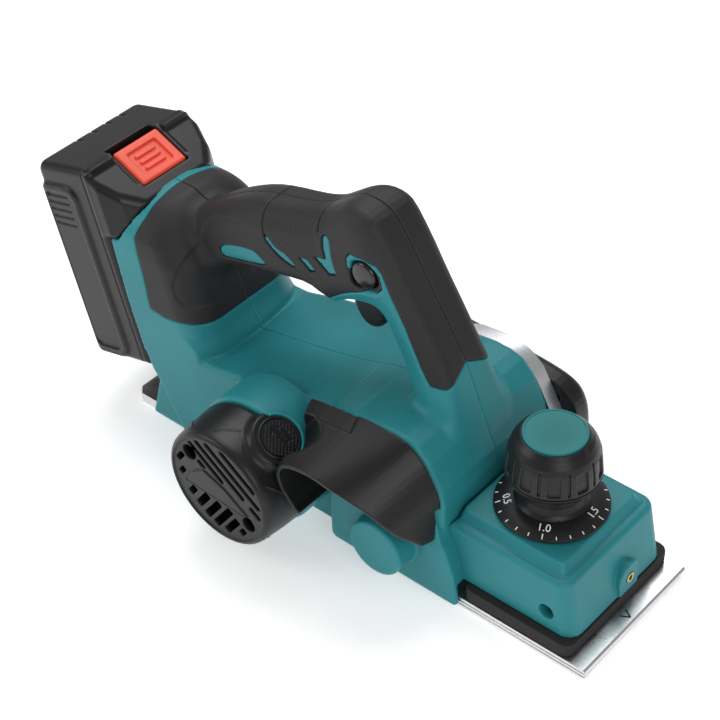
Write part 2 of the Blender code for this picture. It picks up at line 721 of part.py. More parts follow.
def clamp_bolt(index, side, spindle):
    y = -22.0 if side == 0 else 22.0
    bolt = clamp_bolt_rod(index, y, 1.8, 14.9, 23.0)
    name = f"clamp_bolt_{index * 2 + side + 1}"
    return name_piece(bolt, name, "steel", (0, 0, DRUM_Z), spindle)


def bearing(name, centre, bore, outer, low, high):
    middle = (low + high) / 2.0
    race = ring(centre, bore, outer, low, high, "Y", 24)
    return name_piece(race, name, "steel", (centre[0], middle, centre[1]))


def bearing_holder():
    holder = ring((0, DRUM_Z), 10.1, 12.3, -54.2, -43.0, "Y", 24)
    return name_piece(holder, "bearing_holder", "cast_aluminium", (0, -48, DRUM_Z))


def pulley(name, centre, radius, bore, grooves, carrier):
    low, high = BELT_Y
    profile = [(bore, low - 1.2), (radius + 1.2, low - 1.2), (radius + 1.2, low - 0.4)]
    profile += [(radius - GAP, low - 0.4), (radius - GAP, high + 0.4)]
    profile += [(radius + 1.2, high + 0.4), (radius + 1.2, high + 1.2), (bore, high + 1.2)]
    wheel = turned(profile, centre, "Y", grooves, closed=True)
    return name_piece(wheel, name, "dark_steel", (centre[0], 0, centre[1]), carrier)


def hull_of_pulleys(grow):
    """Outline around both pulleys, as a stretched belt lies."""
    dx = MOTOR_X
    dz = MOTOR_Z - DRUM_Z
    reach = math.hypot(dx, dz)
    lean = math.atan2(dz, dx)
    spread = math.acos((DRUM_PULLEY_RADIUS - MOTOR_PULLEY_RADIUS) / reach)
    points = []
    for step in range(13):
        angle = lean - spread + 2.0 * spread * step / 12.0
        radius = MOTOR_PULLEY_RADIUS + grow
        points.append((dx + radius * math.cos(angle), MOTOR_Z + radius * math.sin(angle)))
    for step in range(17):
        angle = lean + spread + (2.0 * math.pi - 2.0 * spread) * step / 16.0
        radius = DRUM_PULLEY_RADIUS + grow
        points.append((radius * math.cos(angle), DRUM_Z + radius * math.sin(angle)))
    return points


def drive_belt():
    low, high = BELT_Y
    rings = [[(x, y, z) for x, z in hull_of_pulleys(grow)]
             for grow, y in ((0.25, low), (2.6, low), (2.6, high), (0.25, high))]
    belt = loft(rings, closed=True)
    return name_piece(belt, "drive_belt", "belt_rubber", (-36, 54.5, 34))


def belt_cover_outline():
    outline = []
    for step in range(9):
        angle = math.radians(95.0 + 160.0 * step / 8.0)
        outline.append((MOTOR_X + 33.0 * math.cos(angle), MOTOR_Z + 33.0 * math.sin(angle)))
    outline += [(-60, 5), (-20, 2.5), (34, 2.5), (38.5, 8), (40, 30), (40, 50), (37.5, 61),
                (31, 68), (20, 71), (-10, 73)]
    return outline


def belt_cover():
    outline = belt_cover_outline()
    low, high = COVER_Y
    rings = [[(x, low, z) for x, z in outline],
             [(x, high - 3.5, z) for x, z in offset(outline, 0.8)],
             [(x, high - 1.0, z) for x, z in offset(outline, 2.4)],
             [(x, high, z) for x, z in offset(outline, 5.0)]]
    cover = loft(rings)
    cut(cover, prism(offset(outline, 3.0), low - 5, high - 2.2))
    posts = [cylinder(centre, 4.5, low, high - 1.5, "Y", SMALL_STEPS) for centre in COVER_SCREWS]
    fuse(cover, *posts)
    for centre in COVER_SCREWS:
        cut(cover, cylinder(centre, 2.2, low - 5, high + 5, "Y", SMALL_STEPS),
            cylinder(centre, 3.9, high - 3.0, high + 5, "Y", SMALL_STEPS))
    return name_piece(cover, "belt_cover", "black_plastic", (0, low, DRUM_Z))


def belt_cover_screw(index):
    centre = COVER_SCREWS[index]
    bolt = screw(centre, COVER_Y[0] + 1.0, COVER_Y[1] - 0.4, "Y")
    return name_piece(bolt, f"belt_cover_screw_{index + 1}", "steel",
                      (centre[0], COVER_Y[1], centre[1]))


# ---------------------------------------------------------------- motor

def motor_rotor(carrier):
    profile = [(3.9, -82.0), (3.9, -72.0), (9.0, -71.5), (9.0, -60.0), (5.0, -59.5), (5.0, -53.0),
               (14.8, -52.5), (14.8, -12.0), (5.0, -11.5), (5.0, 45.0), (3.9, 45.2), (3.9, 59.0)]
    rotor = turned(profile, (MOTOR_X, MOTOR_Z), "Y", SMALL_STEPS)
    return name_piece(rotor, "motor_rotor", "copper", (MOTOR_X, 0, MOTOR_Z), carrier)


def motor_stator():
    stator = ring((MOTOR_X, MOTOR_Z), 15.6, 24.5, -54.0, -10.0)
    return name_piece(stator, "motor_stator", "dark_steel", (MOTOR_X, -32, MOTOR_Z))


def motor_fan(carrier):
    blades = 9
    outline = []
    for index in range(blades):
        for radius, lead in ((9.0, -0.10), (24.0, -0.04), (24.0, 0.04), (9.0, 0.10)):
            angle = 2.0 * math.pi * index / blades + lead
            outline.append((MOTOR_X + radius * math.cos(angle), MOTOR_Z + radius * math.sin(angle)))
    fan = fuse(prism(outline, 4.0, 12.5), cylinder((MOTOR_X, MOTOR_Z), 25.0, 12.0, 14.0))
    cut(fan, cylinder((MOTOR_X, MOTOR_Z), 5.3, 0.0, 20.0, "Y", SMALL_STEPS))
    return name_piece(fan, "motor_fan", "black_plastic", (MOTOR_X, 0, MOTOR_Z), carrier)


def grille_point(along, across):
    """World x and z of a point given along and across the long slots of the motor's end grille."""
    c = math.cos(GRILLE_TILT)
    s = math.sin(GRILLE_TILT)
    return (MOTOR_X + along * c - across * s, MOTOR_Z + along * s + across * c)


def grille_slot(along_low, along_high, across_low, across_high):
    outline = [grille_point(a, b)
               for a, b in rectangle(along_low, along_high, across_low, across_high)]
    return prism(outline, MOTOR_END_Y - 2.0, MOTOR_END_Y + 4.0)


def motor_housing():
    profile = [(33.4, NECK_END_Y - GAP), (33.0, -70.0), (32.0, -82.0), (31.2, -84.8),
               (29.8, MOTOR_END_Y)]
    housing = turned(profile, (MOTOR_X, MOTOR_Z), "Y", 24)
    cut(housing, cylinder((MOTOR_X, MOTOR_Z), 28.5, -82.8, -40))
    fuse(housing, cylinder((MOTOR_X, MOTOR_Z), 13.0, -84.0, -75.0))
    cut(housing, cylinder((MOTOR_X, MOTOR_Z), 11.1, -82.6, -40))
    for across, low, high in LONG_SLOTS:
        cut(housing, grille_slot(low, high, across - 1.3, across + 1.3))
    for along, low, high in SHORT_SLOTS:
        cut(housing, grille_slot(along - 1.9, along + 1.9, low, high))
    for along in GRILLE_HOLES:
        cut(housing, cylinder(grille_point(along, 1.2), 3.7, MOTOR_END_Y - 2.0, MOTOR_END_Y + 4.0,
                              "Y", SMALL_STEPS))
    cut(housing, rod(cap_point(20.0), cap_point(50.0), CAP_RADIUS + GAP))
    return name_piece(housing, "motor_housing", "black_plastic", (MOTOR_X, -60, MOTOR_Z))


def brush_cap():
    cap = rod(cap_point(31.2), cap_point(36.2), CAP_RADIUS)
    cut(cap, rod(cap_point(35.4), cap_point(40.0), CAP_RADIUS - 2.0))
    return name_piece(cap, "brush_cap", "black_plastic", cap_point(31.2))


# ---------------------------------------------------------------- chip chute

CHUTE_ROOT = [(-33, 47), (-38, 57), (-43.5, 68), (-50, 79), (-49, 84.2), (-18, 88.3), (2, 89),
              (10.4, 87.6), (19.5, 80), (28, 64), (28.5, 48), (24, 38)]
CHUTE_MOUTH = [(-29, 46), (-37, 53), (-40.8, 59), (-41.5, 66), (-36, 74.5), (-20, 77.8), (-6, 75.5),
               (1, 71.5), (8.4, 65.6), (14, 59), (18, 52), (19, 46)]
CHUTE_ROOT_Y = -41.4
CHUTE_MOUTH_Y = -76.5


def chute_ring(share, inset):
    """Section of the chute; share runs from 0 at the casing to 1 at the mouth."""
    low = offset(CHUTE_ROOT, inset)
    high = offset(CHUTE_MOUTH, inset)
    y = CHUTE_ROOT_Y + (CHUTE_MOUTH_Y - CHUTE_ROOT_Y) * share
    return [(a0 + (a1 - a0) * share, y, b0 + (b1 - b0) * share)
            for (a0, b0), (a1, b1) in zip(low, high)]


def chip_chute():
    chute = loft([chute_ring(share, 0.0) for share in (0.0, 0.35, 0.7, 1.0)])
    cut(chute, loft([chute_ring(share, 2.0) for share in (-0.2, 0.35, 0.7, 1.2)]))
    under = prism([(-60, 0), (60, 0), (60, 33), (26, 33), (19, 44), (15, 50), (-26, 50),
                   (-30, 44), (-60, 44)], -90, -30)
    flank = prism([(8, -100), (8, -75), (20, -46), (40, -46), (40, -100)], 30, 70, "Z")
    cut(chute, under, flank, box(-60, 60, PANEL_Y - 0.4, -40, 0, 58.5),
        rod(cap_point(10.0), cap_point(60.0), CAP_RADIUS + 0.6))
    return name_piece(chute, "chip_chute", "black_plastic", (0, CHUTE_ROOT_Y, 70))


# ---------------------------------------------------------------- handle controls

def trigger():
    x, z = TRIGGER_PIVOT
    outline = [(x + 2.6, z + 2.4), (x - 16, z + 1.6), (x - 18, z - 3), (x - 17, z - 12),
               (x - 13.5, z - 20), (x - 8, z - 24.5), (x - 2.5, z - 22.5), (x + 1, z - 16),
               (x + 2.6, z - 6)]
    body = cut(prism(outline, -7.0, 7.0), cylinder(TRIGGER_PIVOT, 1.5, -20, 20, "Y", 10))
    return name_piece(body, "trigger", "black_plastic", (x, 0, z))


def trigger_pin():
    pin = cylinder(TRIGGER_PIVOT, 1.2, -9.0, 9.0, "Y", 10)
    return name_piece(pin, "trigger_pin", "steel", (TRIGGER_PIVOT[0], 0, TRIGGER_PIVOT[1]))


def lock_off_button():
    profile = [(5.4, -17.9), (6.6, -16.9), (6.9, -15.0), (6.9, 15.0), (6.6, 16.9), (5.4, 17.9)]
    button = turned(profile, LOCK_BUTTON, "Y", 20)
    return name_piece(button, "lock_off_button", "black_plastic",
                      (LOCK_BUTTON[0], 0, LOCK_BUTTON[1]))


def switch_module():
    body = box(-84, -58, -9.2, 9.2, 126, 148)
    fuse(body, box(-58.5, -55.5, -3, 3, 128, 134))
    return name_piece(body, "switch_module", "black_plastic", (-71, 0, 137))


def control_board():
    board = box(-134, -132, -24, 24, 12, 48)
    fuse(board, box(-132.2, -124, -16, 16, 16, 40))
    return name_piece(board, "control_board", "circuit_board", (-133, 0, 30))


def terminal_block(mount):
    block = box(56.3, 57.6, -20, 20, 8, 40)
    fuse(block, *[box(47, 56.5, y - 0.6, y + 0.6, 12, 30) for y in (-14, -5, 5, 14)])
    return name_piece(block, "terminal_block", "brass", parent=mount)


# ---------------------------------------------------------------- battery, in its own tilted frame

LATCH_TOP = (40.3, 113.2)           # rear upper edge of the latch's face
LATCH_LENGTH = 23.0
LATCH_SLOPE = math.atan2(-14.8, 18.0)
LATCH_HALF_WIDTH = 15.0
LATCH_DEPTH = 5.0
CASE_SEAM = 38.0


def latch_point(along, deep):
    """Point along the latch's sloping face and below it."""
    c = math.cos(LATCH_SLOPE)
    s = math.sin(LATCH_SLOPE)
    return (LATCH_TOP[0] + along * c + deep * s, LATCH_TOP[1] + along * s - deep * c)


def battery_case_rear(mount):
    w = BATTERY_HALF_WIDTH
    top = BATTERY_LENGTH
    side = rectangle(0.0, CASE_SEAM - SEAM, 0.0, top, 5.0)
    side = [(n if n < CASE_SEAM - 5 else CASE_SEAM - SEAM, u) for n, u in side]
    case = prism(side, -w, w)
    plan = rectangle(-0.5, 60.0, -w, w, 7.0)
    keep(case, prism(plan, -1, top + 1, "Z"))
    cut(case, box(2.6, 60, -w + 2.6, w - 2.6, 2.6, 101.5))
    cut(case, *[box(6, 20, -w - 1, -w + 0.8, 84 + 3.2 * i, 85.4 + 3.2 * i) for i in range(5)])
    cut(case, prism([latch_point(-6, -9), latch_point(30, -9), latch_point(30, LATCH_DEPTH + 0.4),
                     latch_point(-6, LATCH_DEPTH + 0.4)], -LATCH_HALF_WIDTH - 0.4,
                    LATCH_HALF_WIDTH + 0.4))
    return name_piece(case, "battery_case_rear", "black_plastic", parent=mount)


def battery_case_front(mount):
    w = BATTERY_HALF_WIDTH
    top = BATTERY_LENGTH
    plate = prism(rectangle(CASE_SEAM + SEAM, BATTERY_REAR_DEPTH, 0.0, top, 0.0), -w, w)
    rails = box(42, 54.5, -25.5, 25.5, 8, 74)
    hook = prism([(42, 76.2), (48.5, 75.8), (61.4, 84), (66, 95.2), latch_point(23.3, 0),
                  latch_point(2.4, 0)], -34.5, 34.5)
    nose_plan = [(30, -36), (50, -36), (58, -30), (67.5, -20), (67.5, 20), (58, 30), (50, 36),
                 (30, 36)]
    keep(hook, prism(nose_plan, 60, 120, "Z"))
    fuse(plate, rails, hook)
    cut(plate, box(30, 41.5, -w + 2.6, w - 2.6, 2.6, 96.5),
        box(41, 52.5, -23, 23, 10, 71))
    cut(plate, *[box(45.5, 58, y0, y0 + 1.8, 5, 34) for y0 in (-14.9, -5.9, 4.1, 13.1)])
    cut(plate, prism([latch_point(-6, -9), latch_point(23.4, -9),
                      latch_point(23.4, LATCH_DEPTH + 0.4), latch_point(-6, LATCH_DEPTH + 0.4)],
                     -LATCH_HALF_WIDTH - 0.4, LATCH_HALF_WIDTH + 0.4))
    return name_piece(plate, "battery_case_front", "black_plastic", parent=mount)


def battery_latch(mount):
    slab = prism([latch_point(0, 0), latch_point(23, 0), latch_point(23, LATCH_DEPTH),
                  latch_point(0, LATCH_DEPTH)], -LATCH_HALF_WIDTH, LATCH_HALF_WIDTH)
    cut(slab, prism([latch_point(6, -1), latch_point(18, -1), latch_point(18, 1.4),
                     latch_point(6, 1.4)], -8, 8))
    return name_piece(slab, "battery_latch", "red_plastic", parent=mount)


def cell_pack(mount):
    """Ten cells in two columns on a shared holder."""
    cells = box(10, 34.2, -30, 30, 9, 91)
    for column in (12.9, 31.3):
        for row in range(5):
            fuse(cells, cylinder((column, 13.0 + 18.6 * row), 9.1, -32.5, 32.5, "Y", 10))
    return name_piece(cells, "cell_pack", "cell_wrap", parent=mount)


def battery_board(mount):
    board = box(6, 36, -30, 30, 98.6, 100.2)
    return name_piece(board, "battery_board", "circuit_board", parent=mount)


# ---------------------------------------------------------------- assembly

def build():
    clear_scene()
    shoe_carrier = empty_at("shoe_slide_axis", (KNOB_X, 0, 0))
    knob_axis = empty_at("knob_axis", (KNOB_X, 0, 50))
    drum_axis = empty_at("drum_axis", (0, 0, DRUM_Z))
    motor_axis = empty_at("motor_axis", (MOTOR_X, 0, MOTOR_Z))
    battery_mount = empty_at("battery_mount", (BATTERY_FOOT[0], 0, BATTERY_FOOT[1]),
                             (0.0, -BATTERY_TILT, 0.0))

    body_shell_right()
    body_shell_left()
    name_piece(grip_overmold(-1), "grip_overmold_right", "black_rubber", (-80, 0, 130))
    name_piece(grip_overmold(1), "grip_overmold_left", "black_rubber", (-80, 0, 130))
    rear_base()
    park_foot()
    park_foot_pin()
    front_shoe(shoe_carrier)
    shoe_gasket()
    front_housing()
    fence_insert()
    fence_clamp_screw()
    depth_knob(knob_axis)
    knob_cap(knob_axis)
    depth_dial(knob_axis)
    depth_screw(knob_axis)
    depth_spring()
    drum_frame()
    cutter_drum(drum_axis)
    for index in (0, 1):
        planer_blade(index, drum_axis)
        blade_clamp(index, drum_axis)
        clamp_bolt(index, 0, drum_axis)
        clamp_bolt(index, 1, drum_axis)
    bearing("drum_bearing_right", (0, DRUM_Z), 6.2, 9.8, -53.5, -43.5)
    bearing("drum_bearing_left", (0, DRUM_Z), 6.2, 13.0, 41.6, 48.7)
    bearing_holder()
    pulley("drum_pulley", (0, DRUM_Z), DRUM_PULLEY_RADIUS, 4.2, 20, drum_axis)
    pulley("motor_pulley", (MOTOR_X, MOTOR_Z), MOTOR_PULLEY_RADIUS, 4.1, 14,
           motor_axis)
    drive_belt()
    belt_cover()
    for index in range(len(COVER_SCREWS)):
        belt_cover_screw(index)
    motor_rotor(motor_axis)
    motor_stator()
    motor_fan(motor_axis)
    bearing("motor_bearing_right", (MOTOR_X, MOTOR_Z), 4.1, 10.8, -81.5, -75.5)
    bearing("motor_bearing_left", (MOTOR_X, MOTOR_Z), 5.2, 13.0, 35.0, 43.7)
    motor_housing()
    brush_cap()
    chip_chute()
    trigger()
    trigger_pin()
    lock_off_button()
    switch_module()
    control_board()
    terminal_block(battery_mount)
    battery_case_rear(battery_mount)
    battery_case_front(battery_mount)
    battery_latch(battery_mount)
    cell_pack(battery_mount)
    battery_board(battery_mount)

    for obj in bpy.data.objects:
        if obj.parent is None:
            obj.location.x += ORIGIN_BEHIND_DRUM * MM


build()
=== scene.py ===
"""Cordless hand planer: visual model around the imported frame.

Lengths in this file are millimetres unless a name says otherwise; meshes are made in metres.
Shapes are signed distance fields: negative inside, turned into a mesh by `solid`.
"""

import json
import math

import bmesh
import bpy
import numpy as np
from mathutils import Matrix, Vector


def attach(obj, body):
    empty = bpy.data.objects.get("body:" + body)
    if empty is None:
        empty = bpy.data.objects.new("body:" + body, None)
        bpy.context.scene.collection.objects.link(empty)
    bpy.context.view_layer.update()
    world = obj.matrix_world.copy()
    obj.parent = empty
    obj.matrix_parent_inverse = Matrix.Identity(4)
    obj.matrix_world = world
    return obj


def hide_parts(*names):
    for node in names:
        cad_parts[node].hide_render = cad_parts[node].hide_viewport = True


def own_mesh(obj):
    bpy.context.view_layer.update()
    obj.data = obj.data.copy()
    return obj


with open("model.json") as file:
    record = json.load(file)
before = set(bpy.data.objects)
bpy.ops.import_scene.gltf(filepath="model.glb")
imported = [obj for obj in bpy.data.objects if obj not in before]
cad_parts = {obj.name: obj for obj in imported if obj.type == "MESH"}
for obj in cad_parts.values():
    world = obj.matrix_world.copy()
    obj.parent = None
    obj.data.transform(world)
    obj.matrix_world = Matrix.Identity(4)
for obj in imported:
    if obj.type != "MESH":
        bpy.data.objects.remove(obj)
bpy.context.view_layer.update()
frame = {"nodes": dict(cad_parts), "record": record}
MM = 0.001
DRUM_X = 100.0              # x below is measured from the drum axis, this far ahead of the origin


# ------------------------------------------------------------------ fields

def both(a, b, r=0.0):
    """Intersection; the edge where the two surfaces meet is rounded to radius r."""
    if r <= 0.0:
        return np.maximum(a, b)
    p = a + r
    q = b + r
    return np.minimum(np.maximum(p, q), 0.0) + np.hypot(np.maximum(p, 0.0), np.maximum(q, 0.0)) - r


def either(a, b, r=0.0):
    """Union with a fillet of radius r."""
    return -both(-a, -b, r)


def minus(a, b, r=0.0):
    """The first shape without the second; the new edge is rounded to radius r."""
    return both(a, -b, r)


def outline(points, x, z):
    """Signed distance to a closed outline, whose points may vary over the volume."""
    best = None
    inside = None
    for i, (bx, bz) in enumerate(points):
        ax, az = points[i - 1]
        ex = bx - ax
        ez = bz - az
        px = x - ax
        pz = z - az
        t = np.clip((px * ex + pz * ez) / (ex * ex + ez * ez), 0.0, 1.0)
        d = (px - ex * t) ** 2 + (pz - ez * t) ** 2
        best = d if best is None else np.minimum(best, d)
        hit = ((az > z) != (bz > z)) & ((px * ez < ex * pz) ^ (ez < 0.0))
        inside = hit if inside is None else inside ^ hit
    return np.where(inside, -1.0, 1.0) * np.sqrt(best)


def smooth(points, rounds=2, share=0.25):
    """Cut the corners of a closed outline."""
    for _ in range(rounds):
        cut = []
        for i, (bx, bz) in enumerate(points):
            ax, az = points[i - 1]
            cut.append((ax + (bx - ax) * share, az + (bz - az) * share))
            cut.append((bx - (bx - ax) * share, bz - (bz - az) * share))
        points = cut
    return points


def step(value, low, high):
    """Smooth rise from 0 at low to 1 at high."""
    t = np.clip((value - low) / (high - low), 0.0, 1.0)
    return t * t * (3.0 - 2.0 * t)


def between(value, low, high):
    """Slab between two levels."""
    return np.maximum(low - value, value - high)


def disc(a, b, ca, cb, radius):
    """Round section about the point (ca, cb)."""
    return np.hypot(a - ca, b - cb) - radius


def rect(a, b, a0, a1, b0, b1, r):
    """Rounded rectangle section."""
    return both(between(a, a0, a1), between(b, b0, b1), r)


# ------------------------------------------------------------------ meshes

def solid(name, field, low, high, size, polish=2):
    """Mesh a field inside a box with cells of the given size."""
    axes = [np.arange(a - size, b + 2.0 * size, size, dtype=np.float32) for a, b in zip(low, high)]
    values = field(axes[0][:, None, None], axes[1][None, :, None], axes[2][None, None, :])
    values = np.broadcast_to(values, [len(a) for a in axes]).astype(np.float32)
    inside = values < 0.0
    n = [len(a) - 1 for a in axes]
    count = np.zeros(n, np.int8)
    corners = [(i, j, k) for i in (0, 1) for j in (0, 1) for k in (0, 1)]
    for i, j, k in corners:
        count += inside[i:i + n[0], j:j + n[1], k:k + n[2]]
    mixed = (count > 0) & (count < 8)
    cells = np.argwhere(mixed)
    index = np.full(n, -1, np.int64)
    index[mixed] = np.arange(len(cells))
    total = np.zeros((len(cells), 3))
    hits = np.zeros(len(cells))
    for corner in corners:
        for axis in range(3):
            if corner[axis]:
                continue
            other = list(corner)
            other[axis] = 1
            a = values[tuple((cells + corner).T)].astype(float)
            b = values[tuple((cells + other).T)].astype(float)
            cross = (a < 0.0) != (b < 0.0)
            t = np.where(cross, a / np.where(cross, a - b, 1.0), 0.0)
            total += np.where(cross[:, None], np.array(corner) + t[:, None] * np.eye(3)[axis], 0.0)
            hits += cross
    start = np.array([a[0] for a in axes])
    points = start + size * (cells + total / hits[:, None])
    h = size * 0.2
    for _ in range(polish):
        here = field(*points.T)
        slope = np.stack([field(*(points + h * np.eye(3)[axis]).T)
                          - field(*(points - h * np.eye(3)[axis]).T) for axis in range(3)], 1)
        slope /= 2.0 * h
        move = slope * (here / np.maximum((slope ** 2).sum(1), 0.2))[:, None]
        far = np.linalg.norm(move, axis=1)
        points = points - move * np.minimum(1.0, 0.5 * size / np.maximum(far, 1e-9))[:, None]
    quads = []
    for axis in range(3):
        u, v = [(1, 2), (2, 0), (0, 1)][axis]
        first = np.take(inside, range(0, n[axis]), axis)
        second = np.take(inside, range(1, n[axis] + 1), axis)
        edges = np.argwhere(first != second)
        edges = edges[(edges[:, u] > 0) & (edges[:, v] > 0) & (edges[:, u] < n[u])
                      & (edges[:, v] < n[v])]
        down = first[tuple(edges.T)]
        around = []
        for du, dv in ((1, 1), (0, 1), (0, 0), (1, 0)):
            at = edges.copy()
            at[:, u] -= du
            at[:, v] -= dv
            around.append(index[tuple(at.T)])
        faces = np.stack(around, 1)
        faces[~down] = faces[~down][:, ::-1]
        quads.append(faces)
    return from_arrays(name, points, np.concatenate(quads))


def from_arrays(name, points, faces, flat=False):
    """Mesh object of points in millimetres from the drum axis; flat keeps its edges crisp."""
    mesh = bpy.data.meshes.new(name)
    points = (np.asarray(points, float) + (DRUM_X, 0.0, 0.0)) * MM
    mesh.from_pydata(points.tolist(), [], [list(map(int, f)) for f in faces])
    mesh.update()
    mesh.shade_smooth()
    if flat:
        mesh.set_sharp_from_angle(angle=math.radians(30.0))
    obj = bpy.data.objects.new(name, mesh)
    bpy.context.scene.collection.objects.link(obj)
    return obj


def lathe(name, profile, centre, steps=96):
    """Turn a closed (radius, height) section about an upright axis."""
    rows = []
    for radius, height in profile:
        for i in range(steps):
            angle = 2.0 * math.pi * i / steps
            rows.append((centre[0] + radius * math.cos(angle),
                         centre[1] + radius * math.sin(angle), height))
    faces = []
    count = len(profile)
    for k in range(count):
        for i in range(steps):
            j = (i + 1) % steps
            m = (k + 1) % count
            faces.append((k * steps + i, k * steps + j, m * steps + j, m * steps + i))
    return from_arrays(name, rows, faces, flat=True)


def bar(name, section, low, high, axis="Y", bevel=0.25):
    """Bar of a constant section with its edges bevelled."""
    rows = []
    for level in (low, high):
        for a, b in section:
            rows.append({"X": (level, a, b), "Y": (a, level, b), "Z": (a, b, level)}[axis])
    count = len(section)
    faces = [tuple(range(count)), tuple(range(2 * count - 1, count - 1, -1))]
    faces += [(i, i + count, (i + 1) % count + count, (i + 1) % count) for i in range(count)]
    obj = from_arrays(name, rows, faces, flat=True)
    tidy(obj)
    if bevel > 0.0:
        edge = obj.modifiers.new("edge", "BEVEL")
        edge.width = bevel * MM
        edge.segments = 2
        edge.limit_method = "ANGLE"
        edge.harden_normals = False
        apply_modifiers(obj)
    return obj


def tidy(obj):
    """Make the faces look outwards."""
    bm = bmesh.new()
    bm.from_mesh(obj.data)
    bmesh.ops.recalc_face_normals(bm, faces=bm.faces[:])
    bm.to_mesh(obj.data)
    bm.free()


def apply_modifiers(obj):
    """Bake the modifiers into the mesh and mark its hard edges."""
    graph = bpy.context.evaluated_depsgraph_get()
    mesh = bpy.data.meshes.new_from_object(obj.evaluated_get(graph))
    obj.modifiers.clear()
    obj.data = mesh
    mesh.set_sharp_from_angle(angle=math.radians(40.0))


# ------------------------------------------------------------------ materials

def nodes_of(name):
    material = bpy.data.materials.new(name)
    material.use_nodes = True
    tree = material.node_tree
    return material, tree, tree.nodes["Principled BSDF"]


def wire(tree, a, b):
    tree.links.new(a, b)


def grain(tree, scale, detail=4.0, stretch=(1.0, 1.0, 1.0)):
    """Noise in object space; the scale is in cells per metre."""
    where = tree.nodes.new("ShaderNodeTexCoord")
    mapping = tree.nodes.new("ShaderNodeMapping")
    mapping.inputs["Scale"].default_value = stretch
    noise = tree.nodes.new("ShaderNodeTexNoise")
    noise.inputs["Scale"].default_value = scale
    noise.inputs["Detail"].default_value = detail
    wire(tree, where.outputs["Object"], mapping.inputs["Vector"])
    wire(tree, mapping.outputs["Vector"], noise.inputs["Vector"])
    return noise.outputs["Fac"]


def ramp(tree, value, stops):
    node = tree.nodes.new("ShaderNodeValToRGB")
    while len(node.color_ramp.elements) < len(stops):
        node.color_ramp.elements.new(0.5)
    for element, (at, colour) in zip(node.color_ramp.elements, stops):
        element.position = at
        element.color = (*colour, 1.0) if len(colour) == 3 else colour
    wire(tree, value, node.inputs["Fac"])
    return node.outputs["Color"]


def mix(tree, fac, a, b):
    node = tree.nodes.new("ShaderNodeMix")
    node.data_type = "RGBA"
    if isinstance(fac, float):
        node.inputs[0].default_value = fac
    else:
        wire(tree, fac, node.inputs[0])
    for socket, value in ((node.inputs[6], a), (node.inputs[7], b)):
        if isinstance(value, tuple):
            socket.default_value = (*value, 1.0)
        else:
            wire(tree, value, socket)
    return node.outputs[2]


def bump(tree, shader, height, strength, distance):
    node = tree.nodes.new("ShaderNodeBump")
    node.inputs["Strength"].default_value = strength
    node.inputs["Distance"].default_value = distance * MM
    wire(tree, height, node.inputs["Height"])
    wire(tree, node.outputs["Normal"], shader.inputs["Normal"])
    return node


def scaled(colour, by):
    return tuple(min(1.0, c * by) for c in colour)


def moulded(name, colour, rough, texture=2600.0, depth=0.02, spec=0.5, edge_wear_and_highlight=1.25):
    """Moulded plastic or rubber: spark-eroded grain, faint mottling, paler edges that are part edge
    wear and part painted highlight.
    """
    material, tree, shader = nodes_of(name)
    cloud = grain(tree, 38.0, 3.0)
    base = ramp(tree, cloud, [(0.3, scaled(colour, 0.93)), (0.7, scaled(colour, 1.07))])
    # paler colour on sharp convex edges: part edge wear, part painted highlight
    point = tree.nodes.new("ShaderNodeNewGeometry").outputs["Pointiness"]
    edge = ramp(tree, point, [(0.50, (0.0, 0.0, 0.0)), (0.58, (1.0, 1.0, 1.0))])
    worn_and_highlit = mix(tree, edge, base, scaled(colour, edge_wear_and_highlight))
    wire(tree, worn_and_highlit, shader.inputs["Base Color"])
    fine = grain(tree, texture, 2.0)
    rougher = ramp(tree, fine, [(0.25, (rough - 0.06,) * 3), (0.75, (rough + 0.06,) * 3)])
    wire(tree, rougher, shader.inputs["Roughness"])
    shader.inputs["Specular IOR Level"].default_value = spec
    bump(tree, shader, fine, 0.35, depth)
    return material


def machined(name, colour, rough, along=(1.0, 1.0, 1.0), scale=900.0, depth=0.004, metallic=1.0):
    """Metal with tool marks along one direction and light soiling."""
    material, tree, shader = nodes_of(name)
    marks = grain(tree, scale, 3.0, along)
    dirt = grain(tree, 55.0, 5.0)
    streak = ramp(tree, marks, [(0.3, scaled(colour, 0.86)), (0.7, scaled(colour, 1.08))])
    soiled = mix(tree, ramp(tree, dirt, [(0.45, (0.0,) * 3), (0.75, (0.22,) * 3)]), streak,
                 scaled(colour, 0.7))
    wire(tree, soiled, shader.inputs["Base Color"])
    rougher = ramp(tree, dirt, [(0.3, (rough - 0.05,) * 3), (0.8, (rough + 0.12,) * 3)])
    wire(tree, rougher, shader.inputs["Roughness"])
    shader.inputs["Metallic"].default_value = metallic
    bump(tree, shader, marks, 0.4, depth)
    return material


TEAL_COLOUR = (0.020, 0.215, 0.240)
TEAL = moulded("teal_plastic", TEAL_COLOUR, 0.42, depth=0.012, spec=0.25)
CAP_TEAL = moulded("cap_teal", (0.010, 0.150, 0.155), 0.40, depth=0.008, spec=0.2)
